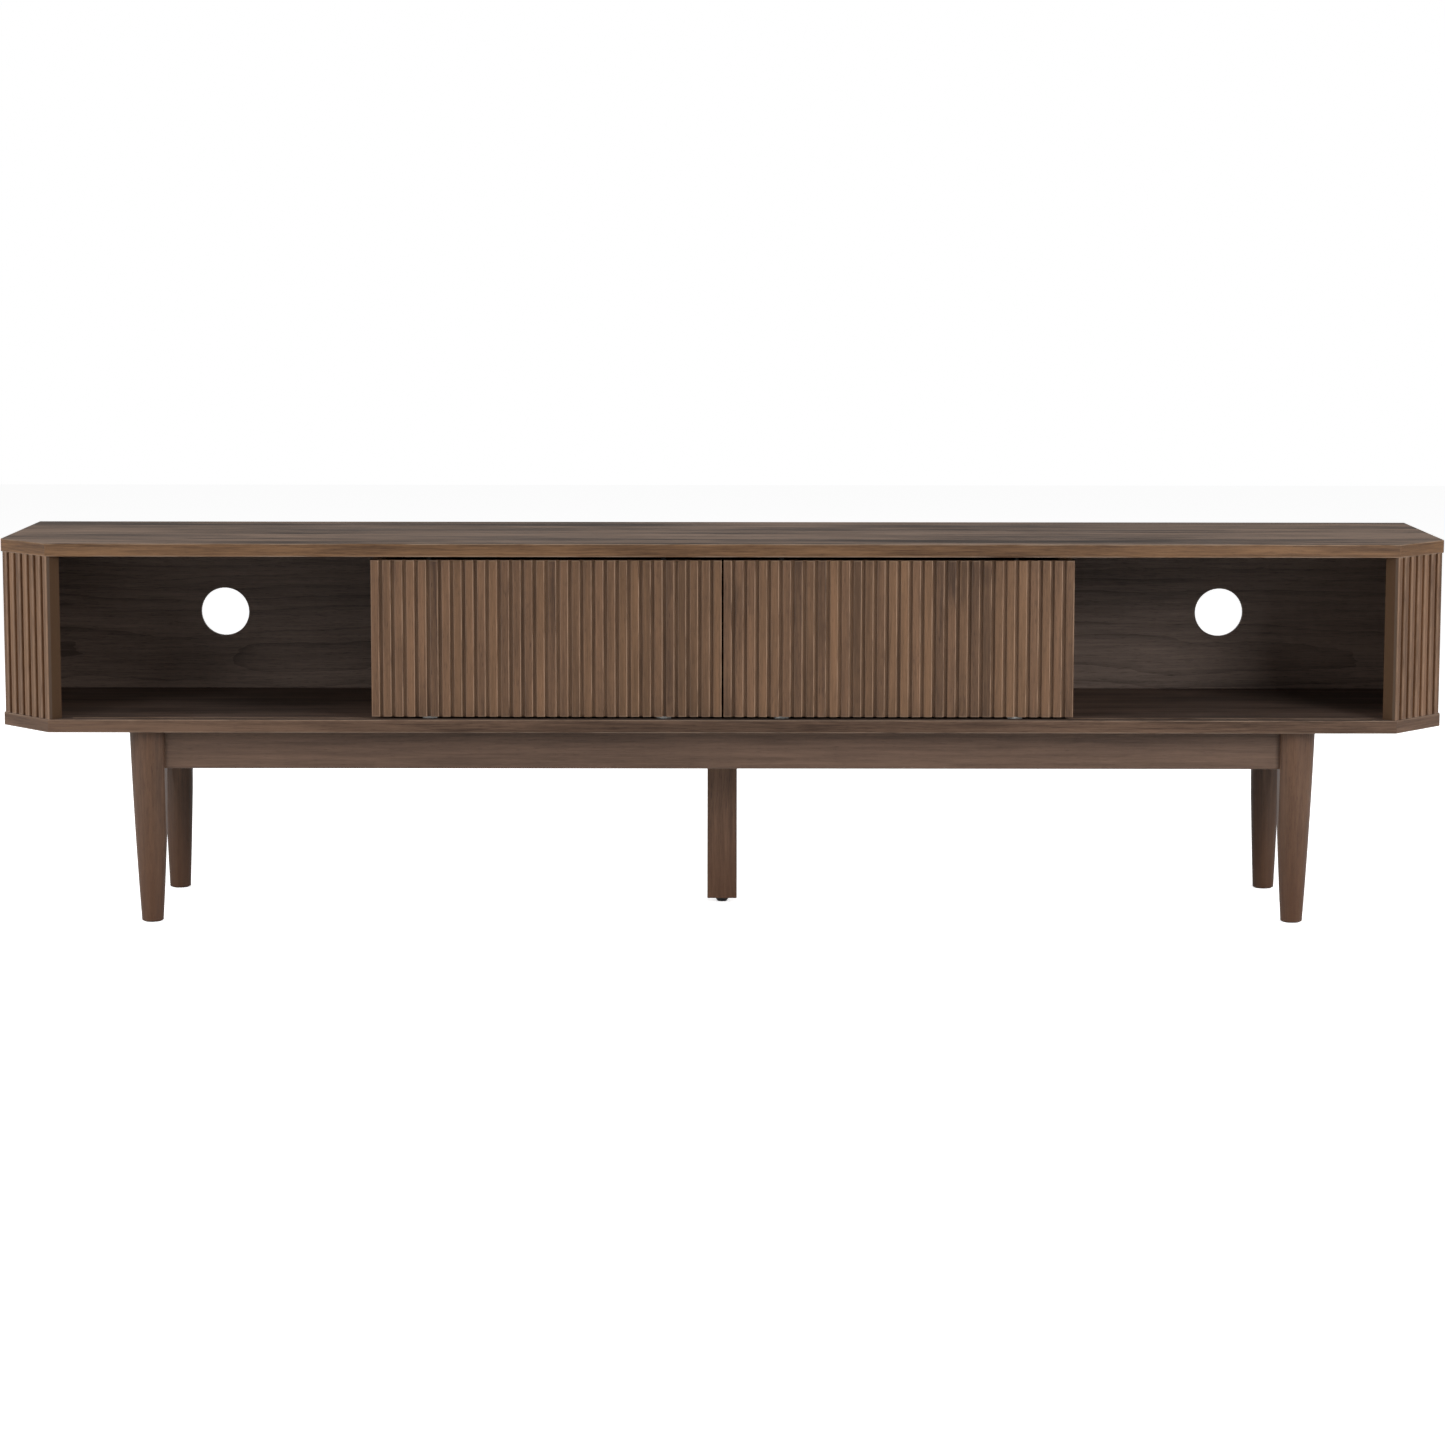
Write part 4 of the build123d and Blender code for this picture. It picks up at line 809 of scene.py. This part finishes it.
def finish_piece(shape, name, material, body, node):
    """Turns a shape into a shown piece that stands for a CAD node."""
    mesh = bpy.data.meshes.new(name)
    shape.to_mesh(mesh)
    shape.free()
    mesh.materials.append(material)
    mesh.shade_smooth()
    mesh.set_sharp_from_angle(angle=SMOOTH_ANGLE)
    piece = bpy.data.objects.new(name, mesh)
    bpy.context.scene.collection.objects.link(piece)
    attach(piece, body)
    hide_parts(node)


def make_screws(material):
    for node, body in (
        ("back_panel_screws", "cabinet"), ("block_screws", "cabinet"), ("rail_screws", "cabinet"),
        ("left_door_guide_screws", "left_door"), ("right_door_guide_screws", "right_door"),
    ):
        shape = bmesh.new()
        for points in separate_solids(node):
            add_screw(shape, *measure_screw(points))
        finish_piece(shape, f"recessed_{node}", material, body, node)


def make_foot(material):
    """The centre leg's levelling foot: a scalloped knob with a sole, on its stem."""
    low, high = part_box("levelling_foot")
    points = [p for solid in separate_solids("levelling_foot") for p in solid]
    centre = (low + high) / 2
    widest = (high.x - low.x) / 2
    stem = max(abs(p.x - centre.x) for p in points if high.z - p.z < STEM_TIP_REACH)
    knob_top = max(p.z for p in points if abs(p.x - centre.x) > widest * KNOB_FROM)
    shape = bmesh.new()
    sole = [(widest * out, height) for out, height in FOOT_SOLE]
    shoulder = [(widest * out, knob_top + height) for out, height in FOOT_SHOULDER]
    turned(shape, FOOT_SIDES, sole + shoulder + [
        (stem, knob_top), (stem, high.z - stem * 0.3), (stem * 0.7, high.z),
    ])
    for vertex in shape.verts:
        if vertex.co.xy.length > widest * SCALLOPED_FROM:
            turn = math.atan2(vertex.co.y, vertex.co.x)
            dip = FOOT_DIP * (0.5 - 0.5 * math.cos(FOOT_LOBES * turn))
            vertex.co.xy *= 1.0 - dip / vertex.co.xy.length
    fill(shape, open_ring(shape, 0.0))
    fill(shape, open_ring(shape, high.z))
    bmesh.ops.recalc_face_normals(shape, faces=shape.faces)
    bmesh.ops.translate(shape, verts=shape.verts, vec=(centre.x, centre.y, 0.0))
    finish_piece(shape, "scalloped_foot", material,
                 "levelling_foot", "levelling_foot")


# =================================================================== studio
def make_floor():
    """A pale paper floor that the cabinet shades softly; it is clear from below."""
    mesh = bpy.data.meshes.new("studio_floor")
    shape = bmesh.new()
    bmesh.ops.create_grid(shape, x_segments=1, y_segments=1, size=FLOOR_HALF)
    shape.to_mesh(mesh)
    shape.free()
    floor = bpy.data.objects.new("studio_floor", mesh)
    bpy.context.scene.collection.objects.link(floor)
    material = bpy.data.materials.new("studio_paper")
    material.use_nodes = True
    w = Wiring(material.node_tree)
    shader = material.node_tree.nodes["Principled BSDF"]
    shader.inputs["Base Color"].default_value = PAPER
    shader.inputs["Roughness"].default_value = 1.0
    shader.inputs["Specular IOR Level"].default_value = 0.0
    shader.inputs["Emission Color"].default_value = (1.0, 1.0, 1.0, 1.0)
    seen = w.add("ShaderNodeLightPath").outputs["Is Camera Ray"]
    w.feed(shader.inputs["Emission Strength"], w.math("MULTIPLY", seen, FLOOR_LIFT))
    below = w.add("ShaderNodeNewGeometry").outputs["Backfacing"]
    clear = w.add("ShaderNodeBsdfTransparent").outputs["BSDF"]
    one_way = w.add("ShaderNodeMixShader", {"Fac": below})
    w.feed(one_way.inputs[1], shader.outputs["BSDF"])
    w.feed(one_way.inputs[2], clear)
    w.feed(material.node_tree.nodes["Material Output"].inputs["Surface"], one_way.outputs["Shader"])
    mesh.materials.append(material)


def make_world():
    """Even soft light all round; the background itself shows as white."""
    world = bpy.data.worlds.new("studio_world")
    bpy.context.scene.world = world
    world.use_nodes = True
    w = Wiring(world.node_tree)
    background = world.node_tree.nodes["Background"]
    background.inputs["Color"].default_value = (1.0, 1.0, 1.0, 1.0)
    seen = w.add("ShaderNodeLightPath").outputs["Is Camera Ray"]
    lift = w.math("MULTIPLY", seen, PAPER_SEEN - WORLD_LIGHT)
    w.feed(background.inputs["Strength"], w.math("ADD", lift, WORLD_LIGHT))


def make_softboxes():
    for name, box in SOFTBOXES.items():
        light = bpy.data.lights.new(name, "AREA")
        light.shape = "SQUARE"
        light.size = box["size"]
        light.energy = box["power"]
        lamp = bpy.data.objects.new(name, light)
        lamp.visible_glossy = name != "rear_softbox"
        way = Vector(AIM) - Vector(box["place"])
        lamp.matrix_world = (Matrix.Translation(box["place"])
                             @ way.to_track_quat("-Z", "Y").to_matrix().to_4x4())
        bpy.context.scene.collection.objects.link(lamp)


def make_camera():
    data = bpy.data.cameras.new("camera")
    data.lens = CAMERA_LENS
    data.sensor_width = CAMERA_SENSOR
    data.clip_end = 100.0
    camera = bpy.data.objects.new("camera", data)
    bpy.context.scene.collection.objects.link(camera)
    turn = (Matrix.Rotation(-CAMERA_YAW, 4, "Z")
            @ Matrix.Rotation(RIGHT_ANGLE - CAMERA_DOWN, 4, "X")
            @ Matrix.Rotation(CAMERA_ROLL, 4, "Z"))
    camera.matrix_world = Matrix.Translation(CAMERA_PLACE) @ turn
    bpy.context.scene.camera = camera
    bpy.context.scene.view_settings.view_transform = "Standard"
    bpy.context.scene.view_settings.look = "None"


make_floor()
make_world()
make_softboxes()
make_camera()
dress_boards()
dress_slats()
dress_panels()
dress_leg_frame()
dress_hardware()
